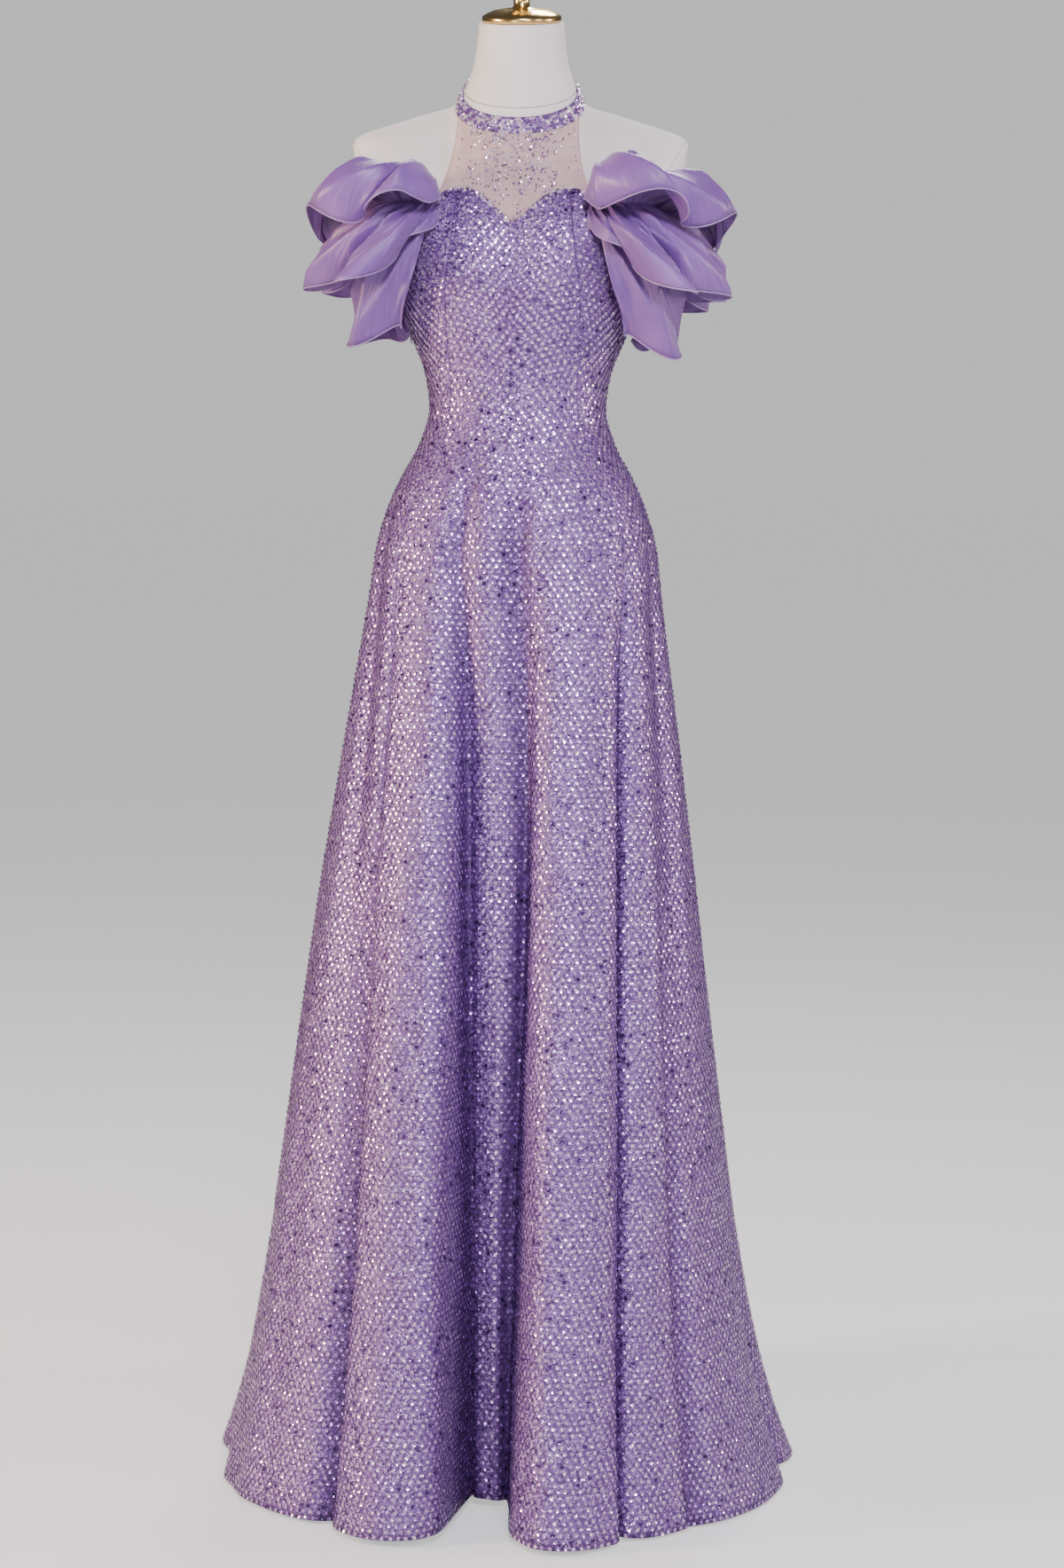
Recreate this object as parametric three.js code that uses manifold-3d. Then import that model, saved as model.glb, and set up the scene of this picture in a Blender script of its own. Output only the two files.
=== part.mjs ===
// Evening gown with princess seams, sweetheart neckline, sheer yoke, halter collar and
// ruffle sleeves, standing on a dress form. Millimetres, +Z up, the front faces -Y,
// and the origin is the centre of the stand's underside on the floor.
import * as THREE from "three";
import { mergeVertices } from "three/addons/utils/BufferGeometryUtils.js";
import Module from "manifold-3d";

const wasm = await Module();
wasm.setup();

// Driving dimensions
const SEAM_GAP = 0.3;
const CLOTH_WALL = 2;
const FORM_CLEARANCE = 0.7;
const HIP_HEIGHT = 1040;
const CHEST_HEIGHT = 1325;
const ARM_HEIGHT = 1350;
const ROUNDNESS = 0.88;
const HALF_TURN = 180;
const ANGLE_STEP = 0.01;

// Turns rows of values into rows with named columns.
const table = (names, rows) =>
  rows.map((row) => Object.fromEntries(names.map((name, i) => [name, row[i]])));

// Horizontal sections of the figure, measured on the outside of the gown. half is the half width,
// front and back are the depths from the axis, square is the exponent of the section's curve, and
// room is the clearance between the gown's wall and the form inside it.
const FIGURE = [
  { z: 905, half: 152, front: 104, back: 112, square: 0.88, room: 0.7 },
  { z: 970, half: 159, front: 111, back: 122, square: 0.88, room: 0.7 },
  { z: 1040, half: 157.5, front: 114, back: 125, square: 0.88, room: 0.7 },
  { z: 1090, half: 145, front: 110, back: 117, square: 0.88, room: 0.7 },
  { z: 1130, half: 129, front: 104, back: 106, square: 0.88, room: 0.7 },
  { z: 1170, half: 108, front: 95, back: 94, square: 0.88, room: 0.7 },
  { z: 1210, half: 98, front: 89, back: 86, square: 0.88, room: 0.7 },
  { z: 1250, half: 104, front: 93, back: 88, square: 0.88, room: 0.7 },
  { z: 1290, half: 120, front: 103, back: 96, square: 0.88, room: 0.7 },
  { z: 1325, half: 132, front: 112, back: 103, square: 0.88, room: 1 },
  { z: 1350, half: 138, front: 116, back: 106, square: 0.88, room: 3 },
  { z: 1376, half: 145, front: 115, back: 107, square: 0.88, room: 4.5 },
  { z: 1410, half: 168, front: 107, back: 106, square: 0.8, room: 5 },
  { z: 1440, half: 181, front: 94, back: 102, square: 0.7, room: 4 },
  { z: 1465, half: 185, front: 76, back: 94, square: 0.64, room: 1 },
  { z: 1488, half: 187, front: 57, back: 82, square: 0.6, room: 0 },
  { z: 1504, half: 187, front: 44, back: 70, square: 0.6, room: 0 },
  { z: 1513, half: 172, front: 37, back: 62, square: 0.66, room: 0 },
  { z: 1524, half: 138, front: 27, back: 52, square: 0.72, room: 0 },
  { z: 1534, half: 106, front: 18, back: 42, square: 0.8, room: 0 },
  { z: 1542, half: 76, front: 12, back: 32, square: 0.88, room: 0 },
];

// Sections of the form's neck. tilt raises the back of a section and lowers its front.
const NECK = [
  { z: 1480, half: 84, front: 72, back: 66, tilt: 0 },
  { z: 1505, half: 79, front: 68, back: 66, tilt: 0 },
  { z: 1525, half: 74, front: 62, back: 66, tilt: 0 },
  { z: 1548, half: 67, front: 57, back: 65, tilt: 0 },
  { z: 1565, half: 60, front: 54, back: 63, tilt: 0 },
  { z: 1585, half: 53.5, front: 50, back: 60, tilt: 0.04 },
  { z: 1605, half: 50, front: 47, back: 56, tilt: 0.1 },
  { z: 1634, half: 47, front: 44.5, back: 49, tilt: 0.2 },
];

// The bust stands out a little on each side of the centre front.
const BUST = { x: 62, z: 1374, rise: 9, halfWidth: 46, halfHeight: 44 };

// Height of the bodice's top edge against the angle from the centre front.
const NECKLINE = [
  { angle: 0, z: 1409 },
  { angle: 3, z: 1417 },
  { angle: 8, z: 1431 },
  { angle: 14, z: 1442 },
  { angle: 19, z: 1446.5 },
  { angle: 23, z: 1447 },
  { angle: 29, z: 1444 },
  { angle: 36, z: 1434 },
  { angle: 48, z: 1408 },
  { angle: 62, z: 1376 },
  { angle: 76, z: 1352 },
  { angle: 90, z: 1343 },
  { angle: 125, z: 1336 },
  { angle: 180, z: 1330 },
];

const PEAK_HEIGHT = Math.max(...NECKLINE.map((row) => row.z));

// The princess seams: angle from the centre front of the front and back seam at each height.
const SEAMS = [
  { z: 1040, front: 47, back: 137 },
  { z: 1130, front: 47, back: 138 },
  { z: 1210, front: 44, back: 141 },
  { z: 1270, front: 37, back: 144 },
  { z: 1325, front: 31, back: 147 },
  { z: 1376, front: 27, back: 148 },
  { z: 1447, front: 23, back: 149 },
];

// The skirt's folds, going round from the right side seam. Each starts in a valley at top on the
// hip and at hem on the hem, both degrees from the centre front. root is the valley's radius at the
// hem, reach the crest's, pinch narrows its foot, full rounds its crest, kick is how far the fold
// follows the flare near the floor, and lift is the hem's height above the floor.
const FOLDS = table(
  ["fold", "top", "hem", "root", "reach", "pinch", "full", "kick", "lift", "columns"],
  [
    ["right_panel", -90, -81, 290, 337, 0.3, 0.45, 0.3, 3, 8],
    ["right_column", -47, -32, 290, 344, 1, 0.5, 0.1, 4, 8],
    ["centre_hollow", -15, -9.5, 174, 188, 0.2, 1, 0, 12, 5],
    ["left_column", 10, 5, 176, 344, 1, 0.5, 0.1, 8, 8],
    ["left_soft", 47, 26, 284, 325, 0.6, 0.7, 0.2, 4, 5],
    ["left_panel", 64, 42, 313, 331, 0.2, 0.45, 0.3, 3, 6],
    ["left_flare", 90, 85, 282, 332, 0.5, 0.7, 1, 2, 5],
    ["left_back_outer", 113, 113, 270, 328, 0.6, 0.7, 0.8, 2, 5],
    ["left_back", 137, 139, 264, 334, 0.7, 0.65, 0.6, 2, 5],
    ["left_centre_back", 159, 160, 262, 337, 0.6, 0.65, 0.6, 2, 5],
    ["right_centre_back", 180, 181, 256, 340, 0.7, 0.65, 0.6, 2, 5],
    ["right_back", 202, 203, 266, 331, 0.6, 0.65, 0.6, 2, 5],
    ["right_back_outer", 223, 223, 262, 328, 0.6, 0.7, 0.8, 2, 5],
    ["right_flare", 246, 249, 272, 336, 0.5, 0.7, 1, 2, 5],
  ],
);

// Gown panels, each from one seam on the hip to the next, in degrees from the centre front.
const PANELS = [
  { name: "panel_side_front_right", from: -90, to: -47 },
  { name: "panel_centre_front", from: -47, to: 47 },
  { name: "panel_side_front_left", from: 47, to: 90 },
  { name: "panel_side_back_left", from: 90, to: 137 },
  { name: "panel_centre_back_left", from: 137, to: 180 },
  { name: "panel_centre_back_right", from: 180, to: 223 },
  { name: "panel_side_back_right", from: 223, to: 270 },
];

// Heights and shares at which the panels have a row of points.
const SKIRT_SHARES = [0.07, 0.16, 0.3, 0.45, 0.6, 0.74, 0.85, 0.93, 1];
const BODICE_HEIGHTS = [1040, 1090, 1130, 1170, 1210, 1250, 1290, 1325];
const TOP_SHARES = [0.22, 0.45, 0.7, 1];
const FLARE_SHARE = 0.25;
const FLARE_POWER = 8;

// Yoke, collar and button
const YOKE = { wall: 1.2, edgeAngle: 34, topAngle: 62, bow: 2.5, rows: 6 };
const COLLAR = { wall: 2.4, height: 18, z: 1556.5, dip: 41, napeGap: 1.2, columns: 44 };
const BUTTON = { radius: 5.5, thickness: 4, rim: 1.6, crownRadius: 3.3, crown: 3.4, lean: 0.2, sides: 16 };

// Ruffle sleeves. The strip is gathered on a line that runs from the front of the bodice round the
// place of the arm to the back, seen from above an arc of an ellipse that is narrower on its outer side.
const GATHER = { x: 120, y: -10, inner: 88, outer: 50, halfDepth: 93.3, from: -113, to: 106 };
const GATHER_RUN = [
  { at: 0, z: 1430 },
  { at: 0.25, z: 1427 },
  { at: 0.5, z: 1415 },
  { at: 0.75, z: 1388 },
  { at: 1, z: 1334 },
];

// Along the sleeve: width of the cloth above the gathers, the angle below the level at which it leaves
// them and the angle it rolls over by, then the widths of the cloth below them and of the flounce.
const SLEEVE_CUT = table(["at", "high", "lean", "curl", "low", "under"], [
  [0, 34, -100, 180, 30, 90],
  [0.07, 96, -104, 224, 48, 138],
  [0.2, 144, -104, 228, 104, 154],
  [0.35, 112, -80, 186, 104, 150],
  [0.5, 92, -70, 168, 96, 138],
  [0.72, 76, -66, 160, 80, 112],
  [1, 34, -84, 150, 45, 60],
]);

// Each free edge turns on from the angle at which it leaves the gathers, and is waved: the crests turn
// less by a share and their cloth is wider by another, the valleys tuck in, and both sway sideways.
const EDGES = {
  high: { wave: 0.15, swell: 0.04, sway: 11 },
  low: { leave: 24, turn: 80, wave: 0.34, swell: 0.16, sway: 12 },
  under: { leave: 72, turn: 32, wave: 0.5, swell: 0.05, sway: 4 },
};

// A sleeve's size, how many waves each of its free edges has, and where in a wave it starts.
const RUFFLES = [
  {
    side: "right",
    mirror: -1,
    size: 0.93,
    high: { waves: 3.8, start: 0.66 },
    low: { waves: 5.4, start: 0.8 },
    under: { waves: 2.9, start: 0.04 },
  },
  {
    side: "left",
    mirror: 1,
    size: 1,
    high: { waves: 3.6, start: 0.5 },
    low: { waves: 5.8, start: 0.65 },
    under: { waves: 2.6, start: 0.12 },
  },
];
const SLEEVE = { wall: 1.4, columns: 40, lowRows: 4, highRows: 6, endFade: 0.1, fan: 2 };
const WAVE = { uneven: 0.09, unevenTurns: 2.3, twist: 1.3 };
const FLOUNCE = { from: 0.12, to: 0.9, inset: 2.2, drop: 1.5 };

// Centre back zip
const ZIP = { width: 9, wall: 1.2, top: 1327, bottom: 1100 };
const SLIDER = { width: 7, height: 11, depth: 3, z: 1308 };
const PULL = { width: 5, length: 26, thickness: 1.4, topEdge: 0.9, drop: 2.6, pivotGap: 1.3 };

// Dress form and stand
const FORM = { columns: 44, capCut: 155, capBottom: 1385, capGap: 0.4, bottom: 905 };
const NECK_CAP = { gap: 1.3, sides: 24 };
const CAP_BOX = { x: 80, y: 600, z: 200 };
const POLE = { radius: 16, sides: 24 };
const BASE = { sides: 40 };

// Turned profiles, from the middle of the underside round to the top.
const NECK_CAP_PROFILE = [
  { r: 0, z: 0 },
  { r: 44, z: 0 },
  { r: 44, z: 6 },
  { r: 31, z: 12.3 },
  { r: 9, z: 15 },
  { r: 9, z: 29 },
  { r: 16, z: 37 },
  { r: 16, z: 45 },
  { r: 9.6, z: 53 },
  { r: 0, z: 56.2 },
];
const BASE_PROFILE = [
  { r: 0, z: 0 },
  { r: 150, z: 0 },
  { r: 150, z: 7 },
  { r: 42, z: 15 },
  { r: 30, z: 25 },
  { r: 24, z: 49 },
  { r: 0, z: 49 },
];

// Materials
const cloth = (color) => new THREE.MeshStandardMaterial({ color, roughness: 0.55, metalness: 0.1 });
const SEQUINNED = cloth(0xa78bd0);
const SATIN = cloth(0x8f6fbf);
const SHEER = cloth(0xd9b8a6);
const BEADED = cloth(0xb49ad6);
const LINEN = new THREE.MeshStandardMaterial({ color: 0xece8e2, roughness: 0.85, metalness: 0 });
const GOLD = new THREE.MeshStandardMaterial({ color: 0xc9a24a, roughness: 0.3, metalness: 1 });
const STEEL = new THREE.MeshStandardMaterial({ color: 0xd8d8d8, roughness: 0.4, metalness: 0.6 });

const gown = new THREE.Group();

function addMesh(name, geometry, material) {
  const mesh = new THREE.Mesh(geometry, material);
  mesh.name = name;
  gown.add(mesh);
}

const radians = (degrees) => (degrees * Math.PI) / HALF_TURN;
const mix = (a, b, t) => a + (b - a) * t;
const clamp = (value, low, high) => Math.min(high, Math.max(low, value));

// Reads a column of a table at a value of its key column, smoothly, with flat ends.
function read(table, key, value, column) {
  const last = table.length - 1;
  if (value <= table[0][key]) return table[0][column];
  if (value >= table[last][key]) return table[last][column];
  const i = table.findIndex((row) => row[key] > value) - 1;
  const slope = (k) => {
    const a = table[Math.max(0, k - 1)];
    const b = table[Math.min(last, k + 1)];
    return (b[column] - a[column]) / (b[key] - a[key]);
  };
  const width = table[i + 1][key] - table[i][key];
  const t = (value - table[i][key]) / width;
  const rise = t * t * (3 - 2 * t);
  const start = t * (1 - t) * (1 - t) * width * slope(i);
  const end = t * t * (t - 1) * width * slope(i + 1);
  return mix(table[i][column], table[i + 1][column], rise) + start + end;
}

// Reads a column of a table with straight lines between its rows.
function readStraight(table, key, value, column) {
  const i = Math.max(1, table.findIndex((row) => row[key] >= value));
  const from = table[i - 1];
  const to = table[i];
  return mix(from[column], to[column], (value - from[key]) / (to[key] - from[key]));
}

const signedPower = (value, power) => Math.sign(value) * Math.abs(value) ** power;

// A closed section: angle 0 is the front, 90 the wearer's left side and 180 the back.
function sectionPoint({ half, front, back, square }, angle, z) {
  const x = half * signedPower(Math.sin(radians(angle)), square);
  const c = signedPower(Math.cos(radians(angle)), square);
  return new THREE.Vector3(x, c > 0 ? -front * c : -back * c, z);
}

function bustRise(x, z) {
  const across = (Math.abs(x) - BUST.x) / BUST.halfWidth;
  const up = (z - BUST.z) / BUST.halfHeight;
  return BUST.rise * Math.exp(-across * across - up * up);
}

// A point of the figure's surface, inset from the outside of the gown.
function figurePoint(angle, z, inset = 0) {
  const section = {
    half: read(FIGURE, "z", z, "half") - inset,
    front: read(FIGURE, "z", z, "front") - inset,
    back: read(FIGURE, "z", z, "back") - inset,
    square: read(FIGURE, "z", z, "square"),
  };
  const point = sectionPoint(section, angle, z);
  if (point.y < 0) point.y -= bustRise(point.x, z);
  return point;
}

// Turns an angle on the hip into the angle of the same line of cloth at another height.
function lineAngle(hipAngle, z) {
  const side = Math.sign(hipAngle);
  const angle = Math.abs(hipAngle);
  const seam = { front: read(SEAMS, "z", z, "front"), back: read(SEAMS, "z", z, "back") };
  const bends = [
    { hip: 0, here: 0 },
    { hip: SEAMS[0].front, here: seam.front },
    { hip: 90, here: 90 },
    { hip: SEAMS[0].back, here: seam.back },
    { hip: HALF_TURN, here: HALF_TURN },
  ];
  return side * readStraight(bends, "hip", angle, "here");
}

// Above the bust the figure widens to its shoulders, and the cloth goes straight up instead.
function bodicePoint(angle, z, inset = 0) {
  if (z <= ARM_HEIGHT) return figurePoint(angle, z, inset);
  const square = read(FIGURE, "z", z, "square");
  const x = read(FIGURE, "z", ARM_HEIGHT, "half") * Math.abs(Math.sin(radians(angle))) ** ROUNDNESS;
  const share = clamp(x / read(FIGURE, "z", z, "half"), 0, 1) ** (1 / square);
  const narrowed = (Math.asin(share) * HALF_TURN) / Math.PI;
  const turned = Math.abs(angle) > 90 ? HALF_TURN - narrowed : narrowed;
  return figurePoint(Math.sign(angle) * turned, z, inset);
}

const necklineHeight = (angle) => read(NECKLINE, "angle", Math.abs(angle), "z");

// The lines of cloth that run from neckline to hem, spaced along every fold.
function clothLines() {
  const lines = [];
  FOLDS.forEach((row, i) => {
    const next = FOLDS[(i + 1) % FOLDS.length];
    const turn = i + 1 === FOLDS.length ? 2 * HALF_TURN : 0;
    for (let k = 0; k < row.columns; k++) {
      const s = k / row.columns;
      const swing = s - (row.pinch * Math.sin(2 * Math.PI * s)) / (2 * Math.PI);
      const foot = mix(row.root, next.root, s);
      const crest = Math.sin(Math.PI * s) ** row.full;
      lines.push({
        top: mix(row.top, next.top + turn, s),
        hem: mix(row.hem, next.hem + turn, swing),
        radius: mix(foot, row.reach, crest),
        kick: mix(row.kick, next.kick, s),
        lift: mix(row.lift, next.lift, s),
      });
    }
  });
  return lines;
}

const signedAngle = (angle) => (angle > HALF_TURN ? angle - 2 * HALF_TURN : angle);

// A point on a line of cloth below the hip: it falls straight to the hem, or flares near the floor.
function skirtPoint(line, share) {
  const hip = figurePoint(signedAngle(line.top), HIP_HEIGHT);
  const hemX = line.radius * Math.sin(radians(line.hem));
  const hemY = -line.radius * Math.cos(radians(line.hem));
  const flared = (1 - FLARE_SHARE) * share + FLARE_SHARE * share ** FLARE_POWER;
  const out = mix(share, flared, line.kick);
  return new THREE.Vector3(
    mix(hip.x, hemX, out),
    mix(hip.y, hemY, out),
    mix(HIP_HEIGHT, line.lift, share),
  );
}

function clothLine(line) {
  const hip = signedAngle(line.top);
  const topZ = necklineHeight(lineAngle(hip, PEAK_HEIGHT));
  const skirt = SKIRT_SHARES.map((share) => skirtPoint(line, share)).reverse();
  const bodice = BODICE_HEIGHTS.map((z) => bodicePoint(lineAngle(hip, z), z));
  const top = TOP_SHARES.map((share) => {
    const z = mix(CHEST_HEIGHT, topZ, share);
    return bodicePoint(lineAngle(hip, z), z);
  });
  return [...skirt, ...bodice, ...top];
}

// Unit normals of a grid of points, taken from its neighbours on every side.
function gridNormals(grid, closed) {
  const count = grid.length;
  return grid.map((line, i) => {
    const before = grid[closed ? (i + count - 1) % count : Math.max(0, i - 1)];
    const after = grid[closed ? (i + 1) % count : Math.min(count - 1, i + 1)];
    return line.map((_, j) => {
      const across = after[j].clone().sub(before[j]);
      const up = line[Math.min(line.length - 1, j + 1)].clone().sub(line[Math.max(0, j - 1)]);
      return across.cross(up).normalize();
    });
  });
}

const movedOut = (grid, normals, distance) =>
  grid.map((line, i) => line.map((point, j) => point.clone().addScaledVector(normals[i][j], distance)));

// A wall between an outer and an inner grid, closed round its rim. Rows of a grid run upwards and
// its lines go anticlockwise seen from above.
function wall(outer, inner) {
  const lines = outer.length;
  const rows = outer[0].length;
  const points = [...outer.flat(), ...inner.flat()];
  const out = (i, j) => i * rows + j;
  const back = (i, j) => lines * rows + i * rows + j;
  const faces = [];
  const quad = (a, b, c, d) => faces.push(a, b, c, a, c, d);
  for (let i = 0; i < lines - 1; i++) {
    for (let j = 0; j < rows - 1; j++) {
      quad(out(i, j), out(i + 1, j), out(i + 1, j + 1), out(i, j + 1));
      quad(back(i, j), back(i, j + 1), back(i + 1, j + 1), back(i + 1, j));
    }
    quad(out(i, 0), back(i, 0), back(i + 1, 0), out(i + 1, 0));
    quad(out(i, rows - 1), out(i + 1, rows - 1), back(i + 1, rows - 1), back(i, rows - 1));
  }
  for (let j = 0; j < rows - 1; j++) {
    quad(out(0, j), out(0, j + 1), back(0, j + 1), back(0, j));
    quad(out(lines - 1, j), back(lines - 1, j), back(lines - 1, j + 1), out(lines - 1, j + 1));
  }
  return meshOf(points, faces);
}

function meshOf(points, faces) {
  const geometry = new THREE.BufferGeometry().setFromPoints(points);
  geometry.setIndex(faces);
  geometry.computeVertexNormals();
  return geometry;
}

// Moves the first and last lines of a piece inwards, so that it stays clear at its seams.
function seamed(grid) {
  const last = grid.length - 1;
  const shift = (i, toward, j) =>
    grid[toward][j].clone().sub(grid[i][j]).setLength(SEAM_GAP / 2).add(grid[i][j]);
  return grid.map((line, i) =>
    line.map((point, j) => {
      if (i === 0) return shift(0, 1, j);
      return i === last ? shift(last, last - 1, j) : point;
    }),
  );
}

const lines = clothLines();
const clothGrid = lines.map(clothLine);
const clothNormals = gridNormals(clothGrid, true);

// The lines of a grid from one seam to the next, both included.
function between(all, from, to) {
  const start = lines.findIndex((line) => line.top > from - ANGLE_STEP);
  const count = lines.filter((line) => line.top > from - ANGLE_STEP && line.top < to - ANGLE_STEP).length;
  return Array.from({ length: count + 1 }, (_, k) => all[(start + k) % lines.length]);
}

function makePanels() {
  const inner = movedOut(clothGrid, clothNormals, -CLOTH_WALL);
  for (const { name, from, to } of PANELS) {
    addMesh(name, wall(seamed(between(clothGrid, from, to)), seamed(between(inner, from, to))), SEQUINNED);
  }
}

// A point of the neck's surface, moved out from the form.
function neckPoint(angle, z, out) {
  const section = {
    half: read(NECK, "z", z, "half") + out,
    front: read(NECK, "z", z, "front") + out,
    back: read(NECK, "z", z, "back") + out,
    square: 1,
  };
  const point = sectionPoint(section, angle, z);
  point.z += read(NECK, "z", z, "tilt") * point.y;
  return point;
}

const collarHeight = (angle) => COLLAR.z - COLLAR.dip * Math.cos(radians(angle));

function makeCollar() {
  const radius = read(NECK, "z", COLLAR.z, "back");
  const gapAngle = (COLLAR.napeGap / 2 / radius / Math.PI) * HALF_TURN;
  const band = (out) =>
    Array.from({ length: COLLAR.columns + 1 }, (_, i) => {
      const angle = mix(-HALF_TURN + gapAngle, HALF_TURN - gapAngle, i / COLLAR.columns);
      const low = collarHeight(angle) - COLLAR.height / 2;
      return [neckPoint(angle, low, out), neckPoint(angle, low + COLLAR.height, out)];
    });
  addMesh("collar_band", wall(band(FORM_CLEARANCE + COLLAR.wall), band(FORM_CLEARANCE)), BEADED);
  makeButton(neckPoint(HALF_TURN, collarHeight(HALF_TURN), FORM_CLEARANCE + COLLAR.wall + SEAM_GAP));
}

function makeButton(place) {
  const profile = [
    new THREE.Vector2(0, 0),
    new THREE.Vector2(BUTTON.radius, 0),
    new THREE.Vector2(BUTTON.radius, BUTTON.rim),
    new THREE.Vector2(BUTTON.crownRadius, BUTTON.crown),
    new THREE.Vector2(0, BUTTON.thickness),
  ];
  const geometry = new THREE.LatheGeometry(profile, BUTTON.sides);
  geometry.rotateX(BUTTON.lean).translate(place.x, place.y, place.z);
  addMesh("collar_button", geometry, BEADED);
}

// The yoke is stretched between the bodice's top edge and the collar's lower edge, on the same
// lines of cloth as the panels below it.
function makeYoke() {
  const depth = (CLOTH_WALL - YOKE.wall) / 2;
  const topAngle = (line) => lineAngle(signedAngle(line.top), PEAK_HEIGHT);
  const inYoke = (line) => Math.abs(topAngle(line)) < YOKE.edgeAngle;
  const edge = movedOut(clothGrid, clothNormals, -depth);
  const outer = [];
  lines.forEach((line, i) => {
    if (!inYoke(line)) return;
    const low = edge[i].at(-1).clone();
    low.z += 2 * SEAM_GAP;
    const highAngle = (topAngle(line) / YOKE.edgeAngle) * YOKE.topAngle;
    const highZ = collarHeight(highAngle) - COLLAR.height / 2 - SEAM_GAP;
    const high = neckPoint(highAngle, highZ, FORM_CLEARANCE + COLLAR.wall - depth);
    const points = Array.from({ length: YOKE.rows + 1 }, (_, j) => {
      const point = low.clone().lerp(high, j / YOKE.rows);
      point.y -= YOKE.bow * Math.sin((Math.PI * j) / YOKE.rows);
      return point;
    });
    outer.push(points);
  });
  const inner = movedOut(outer, gridNormals(outer, false), -YOKE.wall);
  addMesh("yoke", wall(outer, inner), SHEER);
}

// A point of the gathering line and the level direction that points away from the arm there.
function gatherPoint(at) {
  const angle = radians(mix(GATHER.from, GATHER.to, at));
  const halfWidth = Math.cos(angle) > 0 ? GATHER.outer : GATHER.inner;
  const out = new THREE.Vector3(Math.cos(angle) / halfWidth, Math.sin(angle) / GATHER.halfDepth, 0);
  const point = new THREE.Vector3(
    GATHER.x + halfWidth * Math.cos(angle),
    GATHER.y + GATHER.halfDepth * Math.sin(angle),
    read(GATHER_RUN, "at", at, "z"),
  );
  return { point, out: out.normalize() };
}

// A point of a flounce: at runs along the free edge and v from the gathers to that edge. Seen along
// the gathers each line is an arc. The gathers crowd to the front, so the folds fan out from there.
function flouncePoint(at, v, edge, ruffle) {
  const { point, out } = gatherPoint(mix(at ** SLEEVE.fan, at, v));
  const { wave, swell, sway, leave, turn } = EDGES[edge];
  const { waves, start } = ruffle[edge];
  const unevenness = WAVE.uneven * Math.sin(2 * Math.PI * (WAVE.unevenTurns * at + start));
  const phase = 2 * Math.PI * (waves * at + start + unevenness) + WAVE.twist * (1 - v);
  const fade = Math.min(1, at / SLEEVE.endFade, (1 - at) / SLEEVE.endFade);
  const lobe = fade * Math.cos(phase);
  const from = radians(leave ?? read(SLEEVE_CUT, "at", at, "lean"));
  const bend = radians(turn ?? read(SLEEVE_CUT, "at", at, "curl")) * (1 - wave * lobe);
  const width = ruffle.size * read(SLEEVE_CUT, "at", at, edge) * (1 + swell * lobe);
  const away = (width * (Math.sin(from + bend * v) - Math.sin(from))) / bend;
  const fall = (width * (Math.cos(from) - Math.cos(from + bend * v))) / bend;
  const aside = sway * fade * v * Math.sin(phase);
  point.addScaledVector(out, away).add(new THREE.Vector3(-out.y * aside, out.x * aside, -fall));
  if (edge === "under") {
    point.addScaledVector(out, -FLOUNCE.inset);
    point.z -= FLOUNCE.drop;
  }
  point.x *= ruffle.mirror;
  return point;
}

// A sleeve is one strip with a ruffle above and below its gathering line, and a flounce under it.
function makeSleeve(ruffle) {
  const { columns, lowRows, highRows } = SLEEVE;
  const shares = Array.from({ length: columns + 1 }, (_, i) => {
    return ruffle.mirror > 0 ? i / columns : 1 - i / columns;
  });
  const downward = (at, edge) => Array.from({ length: lowRows + 1 }, (_, j) => {
    return flouncePoint(at, 1 - j / lowRows, edge, ruffle);
  });
  const upward = (at) => Array.from({ length: highRows }, (_, j) => {
    return flouncePoint(at, (j + 1) / highRows, "high", ruffle);
  });
  const strip = shares.map((at) => [...downward(at, "low"), ...upward(at)]);
  const hanging = shares.map((share) => downward(mix(FLOUNCE.from, FLOUNCE.to, share), "under"));
  for (const [name, grid] of [["sleeve_ruffle_", strip], ["sleeve_flounce_", hanging]]) {
    const normals = gridNormals(grid, false);
    const outside = movedOut(grid, normals, SLEEVE.wall / 2);
    const inside = movedOut(grid, normals, -SLEEVE.wall / 2);
    addMesh(name + ruffle.side, wall(outside, inside), SATIN);
  }
}

// The zip lies on the panels' own points at the centre back, moved out.
function makeZip() {
  const seam = between(clothGrid, HALF_TURN, HALF_TURN + ANGLE_STEP)[0];
  const seamPoints = seam.filter(({ z }) => z > ZIP.bottom && z < ZIP.top);
  const strip = (out) =>
    [ZIP.width / 2, -ZIP.width / 2].map((x) =>
      seamPoints.map(({ y, z }) => new THREE.Vector3(x, y + SEAM_GAP + out, z)),
    );
  addMesh("zip_tape", wall(strip(ZIP.wall), strip(0)), SEQUINNED);
  const sliderTop = SLIDER.z + SLIDER.height / 2;
  const sliderFoot = readStraight(seamPoints, "z", sliderTop, "y") + ZIP.wall + 2 * SEAM_GAP;
  const slider = new THREE.BoxGeometry(SLIDER.width, SLIDER.depth, SLIDER.height);
  slider.translate(0, sliderFoot + SLIDER.depth / 2, SLIDER.z);
  addMesh("zip_slider", slider, STEEL);
  makePull(sliderFoot + SLIDER.depth + PULL.pivotGap);
}

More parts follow.
